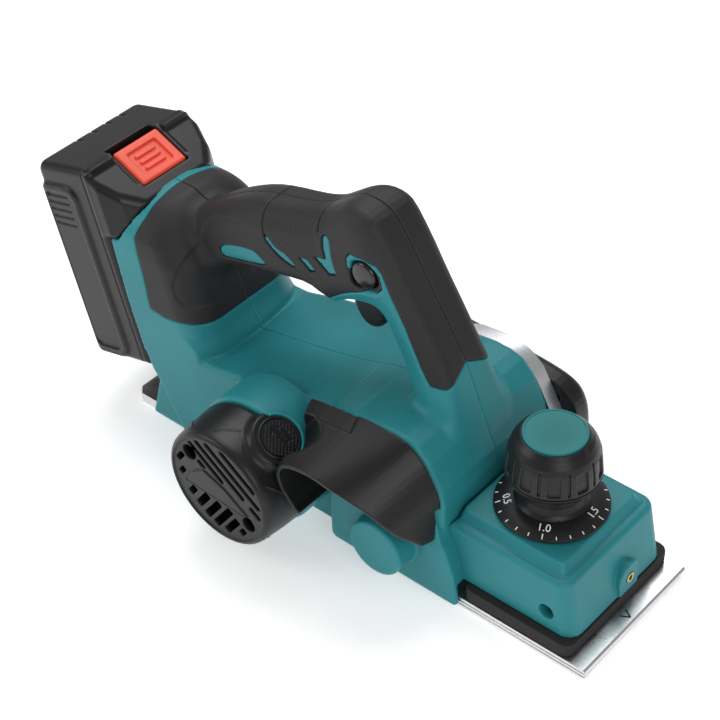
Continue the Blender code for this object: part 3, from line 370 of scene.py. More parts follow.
# the black plastics and the battery get strongly paler edges: edge wear and painted highlight
BLACK = moulded("black_plastic", (0.0085, 0.0085, 0.009), 0.38, depth=0.02, spec=0.32, edge_wear_and_highlight=2.2)
BATTERY = moulded("battery_black", (0.0085, 0.0085, 0.0085), 0.34, 1800.0, 0.03, 0.32, edge_wear_and_highlight=2.4)
RUBBER = moulded("black_rubber", (0.017, 0.016, 0.0175), 0.58, 3200.0, 0.03, 0.35, edge_wear_and_highlight=1.7)
GASKET = moulded("gasket_rubber", (0.022, 0.020, 0.020), 0.80, 1500.0, 0.06, 0.3)
GLOSS = moulded("gloss_black", (0.012, 0.012, 0.012), 0.16, depth=0.004)
RED = moulded("red_plastic", (0.85, 0.085, 0.040), 0.40, depth=0.015, edge_wear_and_highlight=1.05)
WHITE = moulded("white_print", (0.80, 0.80, 0.80), 0.55, depth=0.004)
BELT = moulded("belt_rubber", (0.014, 0.014, 0.014), 0.85, 900.0, 0.08)
BOARD = moulded("circuit_board", (0.015, 0.13, 0.06), 0.45, 700.0, 0.03)
WRAP = moulded("cell_wrap", (0.05, 0.17, 0.38), 0.35, 300.0, 0.02)
COPPER = machined("copper_winding", (0.70, 0.33, 0.18), 0.38, (0.1, 1.0, 1.0), 2500.0, 0.05)
CAST = machined("cast_aluminium", (0.66, 0.67, 0.69), 0.42, (1.0, 1.0, 1.0), 1400.0, 0.02)
MILLED = machined("milled_aluminium", (0.80, 0.80, 0.81), 0.28, (0.08, 1.6, 1.6), 1500.0, 0.006)
STEEL = machined("steel", (0.56, 0.56, 0.58), 0.28, (1.0, 0.2, 1.0), 1800.0, 0.004)
DARK = machined("dark_steel", (0.10, 0.10, 0.105), 0.38, (1.0, 0.3, 1.0), 1800.0, 0.006)
BRASS = machined("brass", (0.72, 0.55, 0.26), 0.28, (1.0, 0.2, 1.0), 1500.0, 0.004)


def dress(obj, material):
    obj.data.materials.clear()
    obj.data.materials.append(material)
    return obj


def finish_piece(obj, material, body, slot, *nodes):
    """Give a piece its material and its body, and hide the CAD nodes that it stands for; slot is
    not used.
    """
    dress(obj, material)
    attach(obj, body)
    if nodes:
        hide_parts(*nodes)
    return obj


# ------------------------------------------------------------------ measures from the frame

DRUM_Z = 26.0
MOTOR = (-72.0, 42.0)
KNOB_X = 60.0
PACK_FOOT = (-209.9, 21.8)
PACK_C = math.cos(math.radians(15.0))
PACK_S = math.sin(math.radians(15.0))
TRIGGER_PIVOT = (-33.0, 131.0)
LOCK = (-36.0, 146.0)
CAP_ANGLE = math.radians(54.5)
CAP_Y = -62.0
HALF_WIDTH = 36.3           # casing, half its width
WALL = 2.6                  # casing and its rubber
SHOE_TOP = 6.0
BATTERY_FACE = 43.8         # front face of the battery, along it
BATTERY_HALF = 38.0         # where its two halves meet


def pack_frame(x, z):
    """Distances along and up the tilted battery."""
    dx = x - PACK_FOOT[0]
    dz = z - PACK_FOOT[1]
    return dx * PACK_C + dz * PACK_S, dz * PACK_C - dx * PACK_S


def pk(n, u):
    """World x and z of a point of the battery."""
    return (PACK_FOOT[0] + n * PACK_C - u * PACK_S, PACK_FOOT[1] + n * PACK_S + u * PACK_C)


# ------------------------------------------------------------------ casing

BASE = [(-150, -30), (-150, 6), (-163, 30), (-167.5, 36.5), (-176, 59), (-150, 60.6),
        (-121, 61.2), (-78, 70.2), (-63, 73.9), (-48, 78.2), (-30, 84), (-10, 84), (-10, -30)]
BASE_LOW = [(-171, -30), (-171, 2), (-168, 12), (-163, 30), (-167.5, 36.5), (-150, 45),
            (-100, 40), (-100, -30)]
ARCH = [(-39.5, -30), (-39.5, 79.7), (-24, 85.6), (-6, 88), (6, 88), (13, 86), (20, 79),
        (27, 65.5), (28.4, 58), (28.4, -30)]
PANEL = [(-36, -30), (-36, 56), (20, 57), (25.5, 56), (27, 46), (29, 38), (32, 33), (36.4, 21),
         (38.2, 10), (38.6, -30)]
LOOP = [(-168, 96), (-164, 118), (-160, 123.5), (-153.3, 125.2), (-145, 130), (-136.7, 136.0),
        (-125, 143.2), (-112.9, 149.2), (-101, 153.2), (-85, 157.2), (-75, 160.2), (-66, 164.4),
        (-58, 170.4), (-51, 175.2), (-44, 177.2), (-36, 176.2), (-30, 173.2), (-20, 158.6),
        (-11.2, 143), (0, 125.2), (10.2, 107.9), (15.4, 94.7), (18.8, 84.5), (21, 70),
        (-2, 70), (-6.5, 85), (-10.4, 94), (-15.5, 105), (-20.6, 114), (-25.6, 123), (-28.5, 126.6),
        (-33, 127.6), (-38, 126.4), (-44, 124), (-50, 120.6), (-55.5, 116.5), (-60.4, 113.2),
        (-65.9, 113.6), (-75, 116), (-86.8, 113.8), (-97, 111.6), (-108.5, 109.5), (-120, 106.4),
        (-129, 101), (-138, 92)]
LOOP = smooth(LOOP, 1)


def grip_shape(x, y, z):
    """Handle loop: an oval grip that turns into a post with chamfered front edges."""
    a = outline(LOOP, x, z)
    post = step(x, -62.0, -34.0)
    flare = np.clip((112.0 - z) / 30.0, 0.0, 1.0) ** 1.5 * step(x, -45.0, -25.0)
    swell = 0.8 * np.exp(-((x + 112.0) / 22.0) ** 2)
    width = 16.2 + swell + 1.6 * post + 4.6 * flare
    b = np.abs(y) - width
    oval = both(a, b, 12.5)
    chamfer = 0.50 * a + 0.866 * b + 3.4
    faced = both(both(a, b, 3.0), chamfer, 3.5)
    return oval + (faced - oval) * post


def column_shape(x, y, z):
    """Rear column: flat to the battery, a rounded front; flares into a skirt."""
    w = np.interp(z, [50, 62, 75, 90, 106, 114, 122, 128, 134],
                  [36.6, 36.4, 36.2, 35.6, 34.8, 33.6, 30.5, 26.0, 20.0])
    nose = np.interp(z, [50, 62, 75, 90, 104, 114, 122, 128, 134],
                     [-120, -123.5, -128, -132.5, -137, -143, -149, -153.5, -157])
    plan = both(x - nose, np.abs(y) - w, 17.0)
    crown = z - 130.6 + 0.0075 * y * y
    col = both(plan, crown, 7.0)
    skirt = both(x + 123.5 + 0.0082 * y * y, np.abs(y) - 36.9, 3.0)
    skirt = both(skirt, z - 64.6 + 0.0026 * y * y, 1.6)
    skirt = both(skirt, 45.0 - z)
    col = both(col, 52.0 - z)
    return both(either(col, skirt, 8.0), np.abs(y) - 36.8, 1.0)


def casing_shape(x, y, z):
    """Outer surface of the casing and its rubber, both halves."""
    rise = 0.05 + 0.07 * step(x, -128.0, -88.0)
    ridge = 0.085 * np.maximum(-y, 0.0) - rise * np.maximum(y, 0.0)
    base = both(outline(BASE, x, z + ridge), np.abs(y) - HALF_WIDTH, 3.2)
    low = both(outline(BASE_LOW, x, z), np.abs(y) - 35.6, 2.0)
    body = either(np.minimum(base, low), column_shape(x, y, z), 1.2)
    body = np.maximum(body, np.abs(y) - HALF_WIDTH)
    neck = both(disc(x, z, *MOTOR, 34.6), between(y, -58.7, -33.5), 2.0)
    body = either(body, neck, 1.8)
    arch = both(outline(ARCH, x, z), np.abs(y) - 41.0, 3.0)
    body = either(body, arch, 3.0)
    body = either(body, grip_shape(x, y, z), 5.0)
    panel = both(outline(PANEL, x, z), between(y, -44.0, -30.0), 1.2)
    body = either(body, panel, 0.8)
    boss = both(disc(x, z, 0.0, DRUM_Z, 15.2), between(y, -57.0, -30.0), 1.6)
    block = both(rect(x, z, -33.0, -10.5, 9.0, 45.0, 4.0), between(y, -50.6, -30.0), 2.0)
    body = either(body, either(boss, block, 1.5), 1.0)
    return body


def pack_shape(x, y, z):
    """Battery with its hook, as one filled volume."""
    n, u = pack_frame(x, z)
    w = 37.5
    side = rect(n, u, 0.0, 80.0, 0.0, 113.4, 6.0)
    back = both(n - BATTERY_FACE, side, 1.2)
    case = both(back, both(-n, np.abs(y) - w, 6.5), 3.0)
    top = 113.4 - 0.822 * (n - 40.0)
    hook = both(outline([(38, 77.0), (49, 76.4), (61.4, 84.4), (66.4, 95.4), (57, 105), (38, 113)],
                        n, u), (u - top) * 0.772, 2.5)
    plan = outline([(20, -37.5), (48, -37.5), (57.5, -31.5), (66.5, -21), (66.5, 21),
                    (57.5, 31.5), (48, 37.5), (20, 37.5)], n, y)
    hook = both(hook, plan, 3.0)
    return either(case, hook, 1.5)


TEAL_POST = [(-61.5, 118), (-57.5, 121.8), (-52, 126.5), (-46.4, 130.6), (-40, 134.6),
             (-34.1, 138.2), (-27.4, 140.4), (-24.6, 144), (-26.4, 150), (-28.8, 152.2),
             (-41.2, 152.0), (-43.0, 150), (-43.4, 145.5), (-45.4, 146), (-45.9, 151.8),
             (-43.3, 155.0), (-28.5, 155.0), (-25.3, 151.6), (-20.1, 141.4), (-12.7, 129),
             (-2.9, 109.7), (1, 104.2), (3, 102.0), (60, 102.0), (60, 40), (-40, 40), (-40, 108),
             (-64, 108)]
TEAL_LOW = [pk(20, 150), pk(67.6, 150), pk(67.6, 92), pk(66.6, 87), pk(61.8, 79), pk(61.8, 60),
            pk(60.0, 40), (-160.6, 75.4), (-152.4, 74.6), (-140, 76.6), (-128, 76.4), (-116, 76.4),
            (-60, 92), (-30, 96), (20, 60), (40, -60), (-260, -60)]
INLAYS = [
    smooth([(-129.4, 117.6), (-125.2, 121.2), (-116, 124.6), (-107.2, 126.4), (-103.6, 125.6),
            (-97, 121.2), (-110, 116.6), (-125.8, 112.6), (-128.8, 113.6)], 1),
    smooth([(-98.2, 139.4), (-96.2, 141.0), (-93.4, 137.4), (-89.6, 134.8), (-84.6, 134.6),
            (-77.4, 129.4), (-83.0, 129.0), (-90.4, 131.6), (-96.2, 136.2)], 1),
    [(-76.6, 136.6), (-71.4, 137.6), (-66.0, 133.2), (-69.6, 131.6)],
    [(-61.2, 155.4), (-59.0, 157.6), (-56.8, 155.6), (-55.8, 145.4), (-53.0, 137.6),
     (-57.6, 135.4), (-67.0, 141.2), (-64.4, 142.3), (-60.0, 143.0), (-61.4, 149.0)],
]
LOCK_HOLE = smooth([(-43.4, 149.6), (-40.4, 152.2), (-28.8, 152.0), (-26.4, 145.0),
                    (-32.6, 139.6), (-40.6, 137.4), (-44.4, 140.8)], 1)
PANEL_LOW = smooth([(-140, 126), (-134, 132.6), (-120, 138.6), (-109, 141.4), (-103.0, 140.0),
                    (-98.8, 135.4), (-91.5, 130.2), (-84, 127.8), (-74, 128.4), (-66, 128.0),
                    (-60, 118), (-64, 100), (-90, 95), (-150, 80)], 2)


def teal_region(x, y, z):
    """Negative where the handle and column show hard teal plastic."""
    region = np.minimum(outline(TEAL_POST, x, z), outline(TEAL_LOW, x, z))
    front = both(z - 108.2 + 0.42 * np.abs(y), -x)
    region = np.minimum(region, front)
    for shape in INLAYS:
        region = np.minimum(region, both(outline(shape, x, z), 8.0 - np.abs(y)))
    return region


def handle_details(shape, x, y, z):
    """Lock-off dish, trigger slot, ring grooves and the fine ribs of the grip."""
    away = np.hypot(x - LOCK[0] - 0.6, z - LOCK[1] + 0.3)
    dish = np.hypot(away, (np.abs(y) - 26.5) * 0.95) - 12.6
    shape = minus(shape, dish, 0.8)
    shape = minus(shape, both(disc(x, z, *LOCK, 7.3), 6.0 - np.abs(y)), 0.3)
    shape = minus(shape, both(outline(LOCK_HOLE, x, z), 13.5 - np.abs(y)), 0.5)
    shape = minus(shape, both(rect(x, z, -57.0, -29.2, 95.0, 136.2, 1.0), np.abs(y) - 7.5), 0.5)
    lean = x + 0.30 * (z - 140.0)
    for at, end in ((-97.0, 139.5), (-59.0, 156.0)):
        groove = both(np.abs(lean - at) - 0.5, both(-shape - 1.0, end - z), 0.3)
        shape = minus(shape, groove, 0.3)
    ribs = 0.16 * np.cos((lean + 97.0) * 2.0 * math.pi / 1.9)
    zone = step(lean, -95.6, -94.6) * (1.0 - step(lean, -62.0, -61.0)) * step(z, 136.0, 139.0)
    for inlay in INLAYS:
        sunk = 1.0 - step(outline(inlay, x, z), -0.25, 0.25)
        shape = shape + 0.75 * sunk * step(np.abs(y), 6.0, 9.0)
    panel = 1.0 - step(outline(PANEL_LOW, x, z), -0.6, 0.6)
    return shape + (ribs + 0.12) * zone + 0.7 * panel * step(np.abs(y), 6.0, 12.0)


# ------------------------------------------------------------------ casing halves, chute, motor end

def cap_frame(x, y, z):
    """Height along the brush cap's axis and the two distances across it."""
    dx = x - MOTOR[0]
    dz = z - MOTOR[1]
    c, s = math.cos(CAP_ANGLE), math.sin(CAP_ANGLE)
    return dx * c + dz * s, dz * c - dx * s, y - CAP_Y


def half_casing(side, hard):
    """One half of the casing, either its hard plastic or its rubber skin."""
    def field(x, y, z):
        outer = handle_details(casing_shape(x, y, z), x, y, z)
        if side < 0:
            up, a, b = cap_frame(x, y, z)
            across = np.hypot(a, b)
            collar = both(both(across - 13.0, between(up, 20.0, 36.0)), -58.7 - y, 0.8)
            outer = either(outer, collar, 0.8)
        region = teal_region(x, y, z)
        near_trigger = step(x, -72.0, -64.0) * (1.0 - step(x, -52.0, -50.0))
        behind = near_trigger * (1.0 - step(z, 123.0, 127.0))
        shell = both(outer, -(outer + WALL + 6.0 * behind))
        shell = both(shell, (region if hard else -region) + 0.12, 0.5)
        shell = both(shell, 0.12 - side * y, 0.4)
        shell = minus(shell, pack_shape(x, y, z) - 0.4, 0.5)
        n, u = pack_frame(x, z)
        rails = both(rect(n, u, 30.0, 58.0, 3.0, 90.0, 1.0), np.abs(y) - 27.0)
        shell = np.maximum(shell, -rails)
        if hard:
            shell = np.maximum(shell, 2.0 - z)
            shell = np.maximum(shell, -both(disc(x, z, 0.0, DRUM_Z, 27.2), -41.0 - y))
            sole = between(x, -190.0, 34.0) if side > 0 else np.abs(y) - 33.4
            shell = np.maximum(shell, -both(z - 6.4, sole))
            drum_room = both(between(x, -37.0, 45.0), np.abs(y) - 41.4)
            shell = np.maximum(shell, -both(drum_room, z - 14.0))
            if side < 0:
                shell = np.maximum(shell, -both(across - 11.3, 20.0 - up))
                mouth = both(chute_outline(x, y, z, 6.0), between(y, -46.0, -30.0))
                shell = np.maximum(shell, -both(mouth, both(57.0 - z, -30.0 - x)))
        return shell
    return field


CHUTE_ROOT = [(-33, 45), (-38, 57), (-43.5, 68), (-50, 79), (-49.5, 84.6), (-18, 88.6),
              (2, 89.2), (10.4, 87.8), (19.5, 80), (28, 64), (28.5, 48), (26, 34)]
CHUTE_MOUTH = [(-28, 44), (-37, 53), (-40.8, 59), (-41.5, 67), (-36, 74.5), (-20, 77.8),
               (-6, 75.5), (1, 71.5), (8.4, 65.6), (14, 59), (18, 52), (19.5, 36)]


def chute_outline(x, y, z, inset=0.0):
    """Distance to the chute's section, which narrows from the casing to the mouth."""
    share = np.clip((-41.4 - y) / 35.1, -0.1, 1.1)
    root = smooth(CHUTE_ROOT, 2, 0.2)
    mouth = smooth(CHUTE_MOUTH, 2, 0.25)
    points = [(a0 + (a1 - a0) * share, b0 + (b1 - b0) * share)
              for (a0, b0), (a1, b1) in zip(root, mouth)]
    return outline(points, x, z) + inset


def chute(x, y, z):
    """Open-bottomed chip outlet whose mouth sweeps back to the casing."""
    up, a, b = cap_frame(x, y, z)
    skin = minus(chute_outline(x, y, z), np.hypot(a, b) - 11.9, 1.0)
    tube = both(skin, -(skin + 2.1))
    tube = both(tube, between(y, -76.5, -41.4), 0.5)
    under = [(-60, 0), (60, 0), (60, 32), (22, 32), (17.5, 38), (13, 50), (-26, 50), (-30, 44),
             (-60, 44)]
    tube = minus(tube, outline(under, x, z), 0.6)
    sweep = smooth([(-100, 84), (-77, 80), (-70.5, 64), (-65, 54), (-57, 45.5), (-47, 34),
                    (-40, 20), (-100, 0)], 2)
    ease = 0.1 * np.maximum(10.0 - x, 0.0) + 1.2 * np.maximum(-12.0 - x, 0.0)
    tube = minus(tube, outline(sweep, y + ease, z), 0.8)
    tube = minus(tube, both(between(y, -44.4, -40.0), z - 58.5))
    ledge = both(both(x + 20.0 + 0.3 * (y + 41.0), -50.5 - y), 70.0 - z)
    return tube + 0.5 * step(-ledge, -0.4, 0.4)


GRILLE_TILT = math.radians(-36.0)
LONG_SLOTS = ((-13.0, 13.0, 24.2), (-20.8, 20.2, 18.2), (-25.0, 12.0, 12.9), (16.0, 24.0, 12.9),
              (-26.6, -0.5, 7.7), (-17.3, -11.5, 3.2))
CROSS_SLOTS = ((-1.2, -23.0, -10.8, 2.0), (5.4, -23.3, -7.3, 2.0), (11.5, -22.0, -3.2, 2.0),
               (17.4, -18.0, -4.2, 1.9), (-8.0, -22.0, -15.5, 1.8), (23.0, -9.5, -4.6, 1.6),
               (-24.2, -10.5, -3.6, 1.5), (-18.6, -16.8, -11.5, 1.5))
GRILLE_HOLES = ((-22.4, 1.9, 4.3), (22.0, 1.8, 4.0))
WEDGE = [(-21.2, -5.3), (-17.2, 2.5), (-9.0, 8.5), (5.0, 3.5), (20.9, -7.4)]


def motor_cover(x, y, z):
    """Round black cover of the motor's end with its grille."""
    dx = x - MOTOR[0]
    dz = z - MOTOR[1]
    d = np.hypot(dx, dz)
    radius = np.interp(y, [-86, -82, -70, -59], [31.3, 32.2, 33.2, 33.6])
    body = both(d - radius, between(y, -86.0, -59.1), 2.6)
    up, a, b = cap_frame(x, y, z)
    across = np.hypot(a, b)
    collar = both(across - 14.0, between(up, 20.0, 34.9), 1.5)
    body = either(body, both(collar, y + 59.1), 3.5)
    arc = np.arctan2(dz, dx)
    rim = step(d, 29.0, 30.0) * step(y, -83.5, -82.5)
    for centre in (80.0, 14.0, -52.0, 142.0, 208.0):
        bend = np.abs((arc - math.radians(centre) + math.pi) % (2.0 * math.pi) - math.pi) * 33.0
        line = np.abs(-72.5 - 0.85 * bend - y) * 0.76 - 0.35
        body = body - 0.28 * (1.0 - step(both(line, bend - 9.0), -0.3, 0.3)) * rim
    body = minus(body, both(d - 28.8, y + 85.2), 0.4)
    body = np.maximum(body, -both(d - 28.4, -82.6 - y))
    c, s = math.cos(GRILLE_TILT), math.sin(GRILLE_TILT)
    p = dx * c + dz * s
    q = dz * c - dx * s
    cuts = None
    for low, high, across_q in LONG_SLOTS:
        slot_shape = rect(p, q, low, high, across_q - 1.35, across_q + 1.35, 1.3)
        cuts = slot_shape if cuts is None else np.minimum(cuts, slot_shape)
    for at, low, high, half in CROSS_SLOTS:
        cuts = np.minimum(cuts, rect(p, q, at - half, at + half, low, high, 0.7))
    for cp, cq, r in GRILLE_HOLES:
        cuts = np.minimum(cuts, disc(p, q, cp, cq, r))
    cuts = both(cuts, d - 27.8, 0.4)
    wedge = outline(WEDGE, dx, dz)
    frame_line = both(np.abs(wedge) - 0.55, between(y, -90.0, -83.6))
    body = np.minimum(body, both(both(wedge - 0.5, -85.6 - y), y + 82.0))
    body = minus(body, both(frame_line, y + 84.9), 0.2)
    return minus(body, both(cuts, y + 80.0), 0.35)


def cap(x, y, z):
    """Screw cap of the brush holder: hatched top, screwdriver slot, arrow."""
    up, a, b = cap_frame(x, y, z)
    across = np.hypot(a, b)
    shape = both(across - 10.9, between(up, 31.2, 35.9), 0.8)
    u = (a + b) * 0.7071
    v = (a - b) * 0.7071
    hatch = np.maximum(np.cos(u * 2.0 * math.pi / 1.7), np.cos(v * 2.0 * math.pi / 1.7))
    zone = step(-across, -9.0, -8.6) * step(up, 33.0, 34.0)
    arrow = np.minimum(rect(a, b, -4.2, 4.0, 0.2, 1.8, 0.3),
                       outline([(4, -2.0), (6.6, 1.0), (4, 4.0)], a, b))
    arrow = np.minimum(arrow, rect(a, b, -4.2, 2.0, 3.4, 4.9, 0.3))
    plain = step(arrow, 0.3, 0.8)
    shape = shape + zone * (0.35 - 0.30 * np.clip(hatch, 0.0, 1.0) * plain)
    rings = np.abs(across - 9.4) - 0.35
    return minus(shape, both(rings, 35.0 - up), 0.1)


# ------------------------------------------------------------------ front block, knob and dial

def block(x, y, z):
    """Front block with its plinth, the fence pad and a hollow underside."""
    face = np.interp(z, [14, 42.8, 46], [99.7, 94.6, 94.1])
    inset = np.interp(z, [14, 45], [0.0, 0.5])
    plan = both(x - face, both(np.abs(y) - 36.6 + inset, 28.4 - x), 7.5)
    body = both(plan, z - 45.2, 2.6)
    rise = np.clip(z - 45.0, 0.0, 5.0) * 0.62
    plinth = both(both(x - 90.0 + rise, np.abs(y) - 31.8 + rise, 3.2), 29.4 - x + rise * 0.4, 3.0)
    body = either(body, both(plinth, between(z, 40.0, 50.0), 0.5), 0.5)
    pad = outline([(-1, 14.2), (13, 14.2), (14.2, 23), (12.8, 27.6), (9.6, 30.6), (5.6, 31.4),
                   (1.8, 29.8), (-0.8, 26.4), (-1.8, 22)], y, z)
    body = either(body, both(pad, between(x, 85.0, 101.1), 1.0), 0.4)
    body = both(body, 14.0 - z, 0.4)
    room = both(both(x - face + 3.4, np.abs(y) - 33.4, 4.0), both(z - 42.0, 31.4 - x))
    room = minus(room, disc(x, y, KNOB_X, 0.0, 10.0))
    room = minus(room, both(rect(x, y, 80.0, 89.0, -40.0, -20.0, 0.5), between(z, 18.0, 30.0)))
    room = minus(room, both(rect(x, y, 90.0, 110.0, 1.0, 11.0, 0.5), between(z, 17.0, 28.0)))
    body = np.maximum(body, -room)
    body = minus(body, disc(x, y, KNOB_X, 0.0, 5.4))
    body = minus(body, both(disc(x, z, 84.3, 24.1, 4.0), y + 22.0), 0.5)
    body = minus(body, both(disc(y, z, 6.2, 22.5, 2.9), 94.0 - x), 0.3)
    return body


def knob(x, y, z):
    """Depth knob: waisted foot and a head with ten recesses between narrow slots."""
    d = np.hypot(x - KNOB_X, y)
    turn = np.arctan2(y, x - KNOB_X)
    radius = np.interp(z, [54.9, 55.6, 57, 60, 64, 67, 68.6, 69.6, 71.8, 72.4, 74, 80, 85, 88.5,
                           91.2, 93.2, 94],
                       [18.9, 17.4, 16.2, 15.2, 15.0, 16.6, 18.6, 21.4, 22.4, 22.6, 22.4, 21.9,
                        21.2, 19.9, 18.2, 16.2, 15.6])
    shape = both(d - radius, between(z, 55.05, 93.9), 0.6) * 0.92
    shape = minus(shape, both(np.abs(z - 72.9) - 0.3, 20.9 - d), 0.1)
    pitch = 2.0 * math.pi / 10.0
    recesses = ((0.0, 2.9, 1.1, 74.6, 85.2), (0.5, 0.65, 1.0, 74.4, 87.0))
    for shift, half, depth, low, high in recesses:
        beside = ((turn / pitch + shift) % 1.0 - 0.5) * pitch * 21.6
        recess = both(rect(beside, z, -half, half, low, high, min(half, 0.9)), radius - depth - d)
        shape = minus(shape, recess, 0.35)
    shape = np.maximum(shape, -both(d - 15.3, 91.8 - z))
    return np.maximum(shape, -both(d - 5.2, z - 88.0))


DIAL_ZERO = 152.0           # degrees round to the mark of no depth
DIAL_SLOPE = 0.35           # fall of the ring towards its rim


def dial():
    """Graduated ring: black disc with raised white marks, one turn in twenty-five."""
    disc_piece = lathe("dial", [(5.2, 50.5), (26.4, 50.5), (27.0, 51.0), (27.0, 51.9),
                                (26.6, 52.3), (19.0, 54.96), (5.2, 54.96)], (KNOB_X, 0.0))
    dress(disc_piece, BLACK)
    parts = [disc_piece]

    def top(radius):
        return 52.3 + (26.6 - radius) * DIAL_SLOPE

    for i in range(25):
        angle = math.radians(DIAL_ZERO + i * 14.4)
        inner = 23.8 if i % 5 == 0 else 24.8
        a = (math.cos(angle), math.sin(angle))
        t = (-a[1], a[0])
        ring = [(inner, -0.24), (26.3, -0.24), (26.3, 0.24), (inner, 0.24)]
        points = []
        for lift in (-0.1, 0.14):
            for r, w in ring:
                points.append((KNOB_X + a[0] * r + t[0] * w, a[1] * r + t[1] * w,
                               top(r) + lift))
        faces = [(0, 3, 2, 1), (4, 5, 6, 7), (0, 1, 5, 4), (1, 2, 6, 5), (2, 3, 7, 6),
                 (3, 0, 4, 7)]
        mark = from_arrays("mark", points, faces, flat=True)
        parts.append(dress(mark, WHITE))
    for i, label in enumerate(("0", "0.5", "1.0", "1.5", "2.0")):
        angle = math.radians(DIAL_ZERO + 72.0 * i)
        curve = bpy.data.curves.new("label", "FONT")
        curve.body = label
        curve.size = 5.2 * MM
        curve.extrude = 0.12 * MM
        curve.align_x = "CENTER"
        curve.align_y = "CENTER"
        text = bpy.data.objects.new("label", curve)
        bpy.context.scene.collection.objects.link(text)
        radius = 21.0
        place = Vector(((DRUM_X + KNOB_X + radius * math.cos(angle)) * MM,
                        radius * math.sin(angle) * MM, (top(radius) + 0.05) * MM))
        spin = Matrix.Rotation(angle + math.pi / 2.0, 4, "Z")
        tilt = Matrix.Rotation(math.atan(DIAL_SLOPE), 4, "X")
        text.matrix_world = Matrix.Translation(place) @ spin @ tilt
        bpy.context.view_layer.update()
        mesh = bpy.data.meshes.new_from_object(text)
        mesh.transform(text.matrix_world)
        bpy.data.objects.remove(text)
        obj = bpy.data.objects.new("label", mesh)
        bpy.context.scene.collection.objects.link(obj)
        parts.append(dress(obj, WHITE))
    return join(parts, "dial")


def join(parts, name):
    """Make the first part and the others one object."""
    with bpy.context.temp_override(active_object=parts[0], selected_editable_objects=parts,
                                   selected_objects=parts, object=parts[0]):
        bpy.ops.object.join()
    parts[0].name = name
    return parts[0]


# ------------------------------------------------------------------ battery

def latch_frame(n, u):
    """Distance down the sloping face from its rear edge, and depth below it."""
    dn = n - 40.3
    du = u - 113.2
    return dn * 0.7724 - du * 0.6351, -dn * 0.6351 - du * 0.7724


def pack(x, y, z):
    """Whole battery case: cheeks, hook, vents, latch well and contact slots."""
    n, u = pack_frame(x, z)
    ay = np.abs(y)
    core = both(rect(n, u, 0.6, 80.0, 0.6, 113.4, 6.0), n - BATTERY_FACE)
    core = both(core, both(1.2 - n, ay - 35.7, 6.0), 4.0)
    cheek = rect(n, u, 0.0, 29.5, 2.6, 103.0, 8.0)
    cheek = both(cheek, both(-n, ay - 37.3, 7.0), 1.6)
    shape = either(core, cheek, 1.6)
    top = 113.4 - 0.822 * (n - 40.0)
    hook = outline([(38, 77.0), (49, 76.2), (61.4, 84.2), (66.2, 95.3), (57, 106), (38, 114)],
                   n, u)
    hook = both(hook, (u - top) * 0.772, 1.6)
    plan = outline([(20, -36.0), (47, -36.0), (57.0, -31.0), (66.5, -21), (66.5, 21), (57.0, 31.0),
                    (47, 36.0), (20, 36.0)], n, y)
    hook = both(hook, plan, 3.5)
    shape = either(shape, hook, 1.2)
    shape = either(shape, both(rect(n, u, 40.0, 54.5, 8.0, 74.0, 1.0), ay - 25.5), 0.5)
    field = rect(n, u, 4.2, 25.6, 7.0, 99.0, 5.0)
    shape = minus(shape, both(field, 36.2 - ay), 0.5)
    for i in range(5):
        level = 79.5 + 4.1 * i
        slot_shape = rect(n, u, 5.4, 21.5, level, level + 1.5, 0.6)
        shape = minus(shape, both(slot_shape, 35.6 - ay), 0.2)
    groove = both(np.abs(rect(n, u, 1.6, 28.2, 4.4, 101.6, 7.0)) - 0.22, 36.9 - ay)
    shape = minus(shape, groove, 0.1)
    for at in (-9.5, 0.5, 10.5, 20.0):
        notch = both(both(np.abs(y - at) - 0.8, n - 11.0), 110.6 + 0.25 * n - u)
        shape = minus(shape, notch, 0.3)
    along, depth = latch_frame(n, u)
    well = both(rect(along, depth, 0.0, 23.6, -30.0, 5.6, 0.5), ay - 15.5)
    shape = minus(shape, well, 0.5)
    slot_behind = both(rect(n, u, 33.0, 42.0, 102.0, 130.0, 0.5), ay - 15.5)
    shape = minus(shape, slot_behind, 0.5)
    tray = both(rect(along, depth, -2.0, 21.0, -30.0, 0.6, 0.5), between(ay, 15.0, 17.6))
    shape = minus(shape, tray, 0.4)
    seam = both(np.abs(n - BATTERY_HALF) - 0.2, 35.0 - ay)
    shape = minus(shape, seam, 0.1)
    room = both(rect(n, u, 2.6, 41.5, 2.6, 99.0, 2.0), ay - 34.4)
    shape = np.maximum(shape, -room)
    shape = np.maximum(shape, -both(rect(n, u, 40.0, 52.5, 10.0, 71.0, 0.5), ay - 23.0))
    for at in (-14.9, -5.9, 4.1, 13.1):
        contact = both(rect(n, u, 45.5, 60.0, 5.0, 34.0, 0.3), between(y, at, at + 1.8))
        shape = np.maximum(shape, -contact)
    return shape


def pack_part(front):
    """One of the battery's two halves."""
    def field(x, y, z):
        n = pack_frame(x, z)[0]
        split = BATTERY_HALF + 0.15 - n if front else n - (BATTERY_HALF - 0.15)
        return both(pack(x, y, z), split, 0.3)
    return field


def latch(x, y, z):
    """Red button on the sloping face, with its ribbed tray."""
    n, u = pack_frame(x, z)
    along, depth = latch_frame(n, u)
    ay = np.abs(y)
    shape = both(rect(along, depth, 0.0, 23.0, 0.0, 5.0, 1.6), ay - 15.0, 1.6)
    tray = both(rect(along, y, 4.4, 19.0, -9.8, 9.8, 1.2), depth - 1.5, 0.2)
    shape = minus(shape, tray, 0.5)
    for i in range(3):
        rib = rect(along, y, 6.9 + 3.9 * i, 8.9 + 3.9 * i, -6.8, 6.8, 0.8)
        shape = np.minimum(shape, both(rib, between(depth, 0.3, 2.0), 0.3))
    return shape


# ------------------------------------------------------------------ small controls, covers

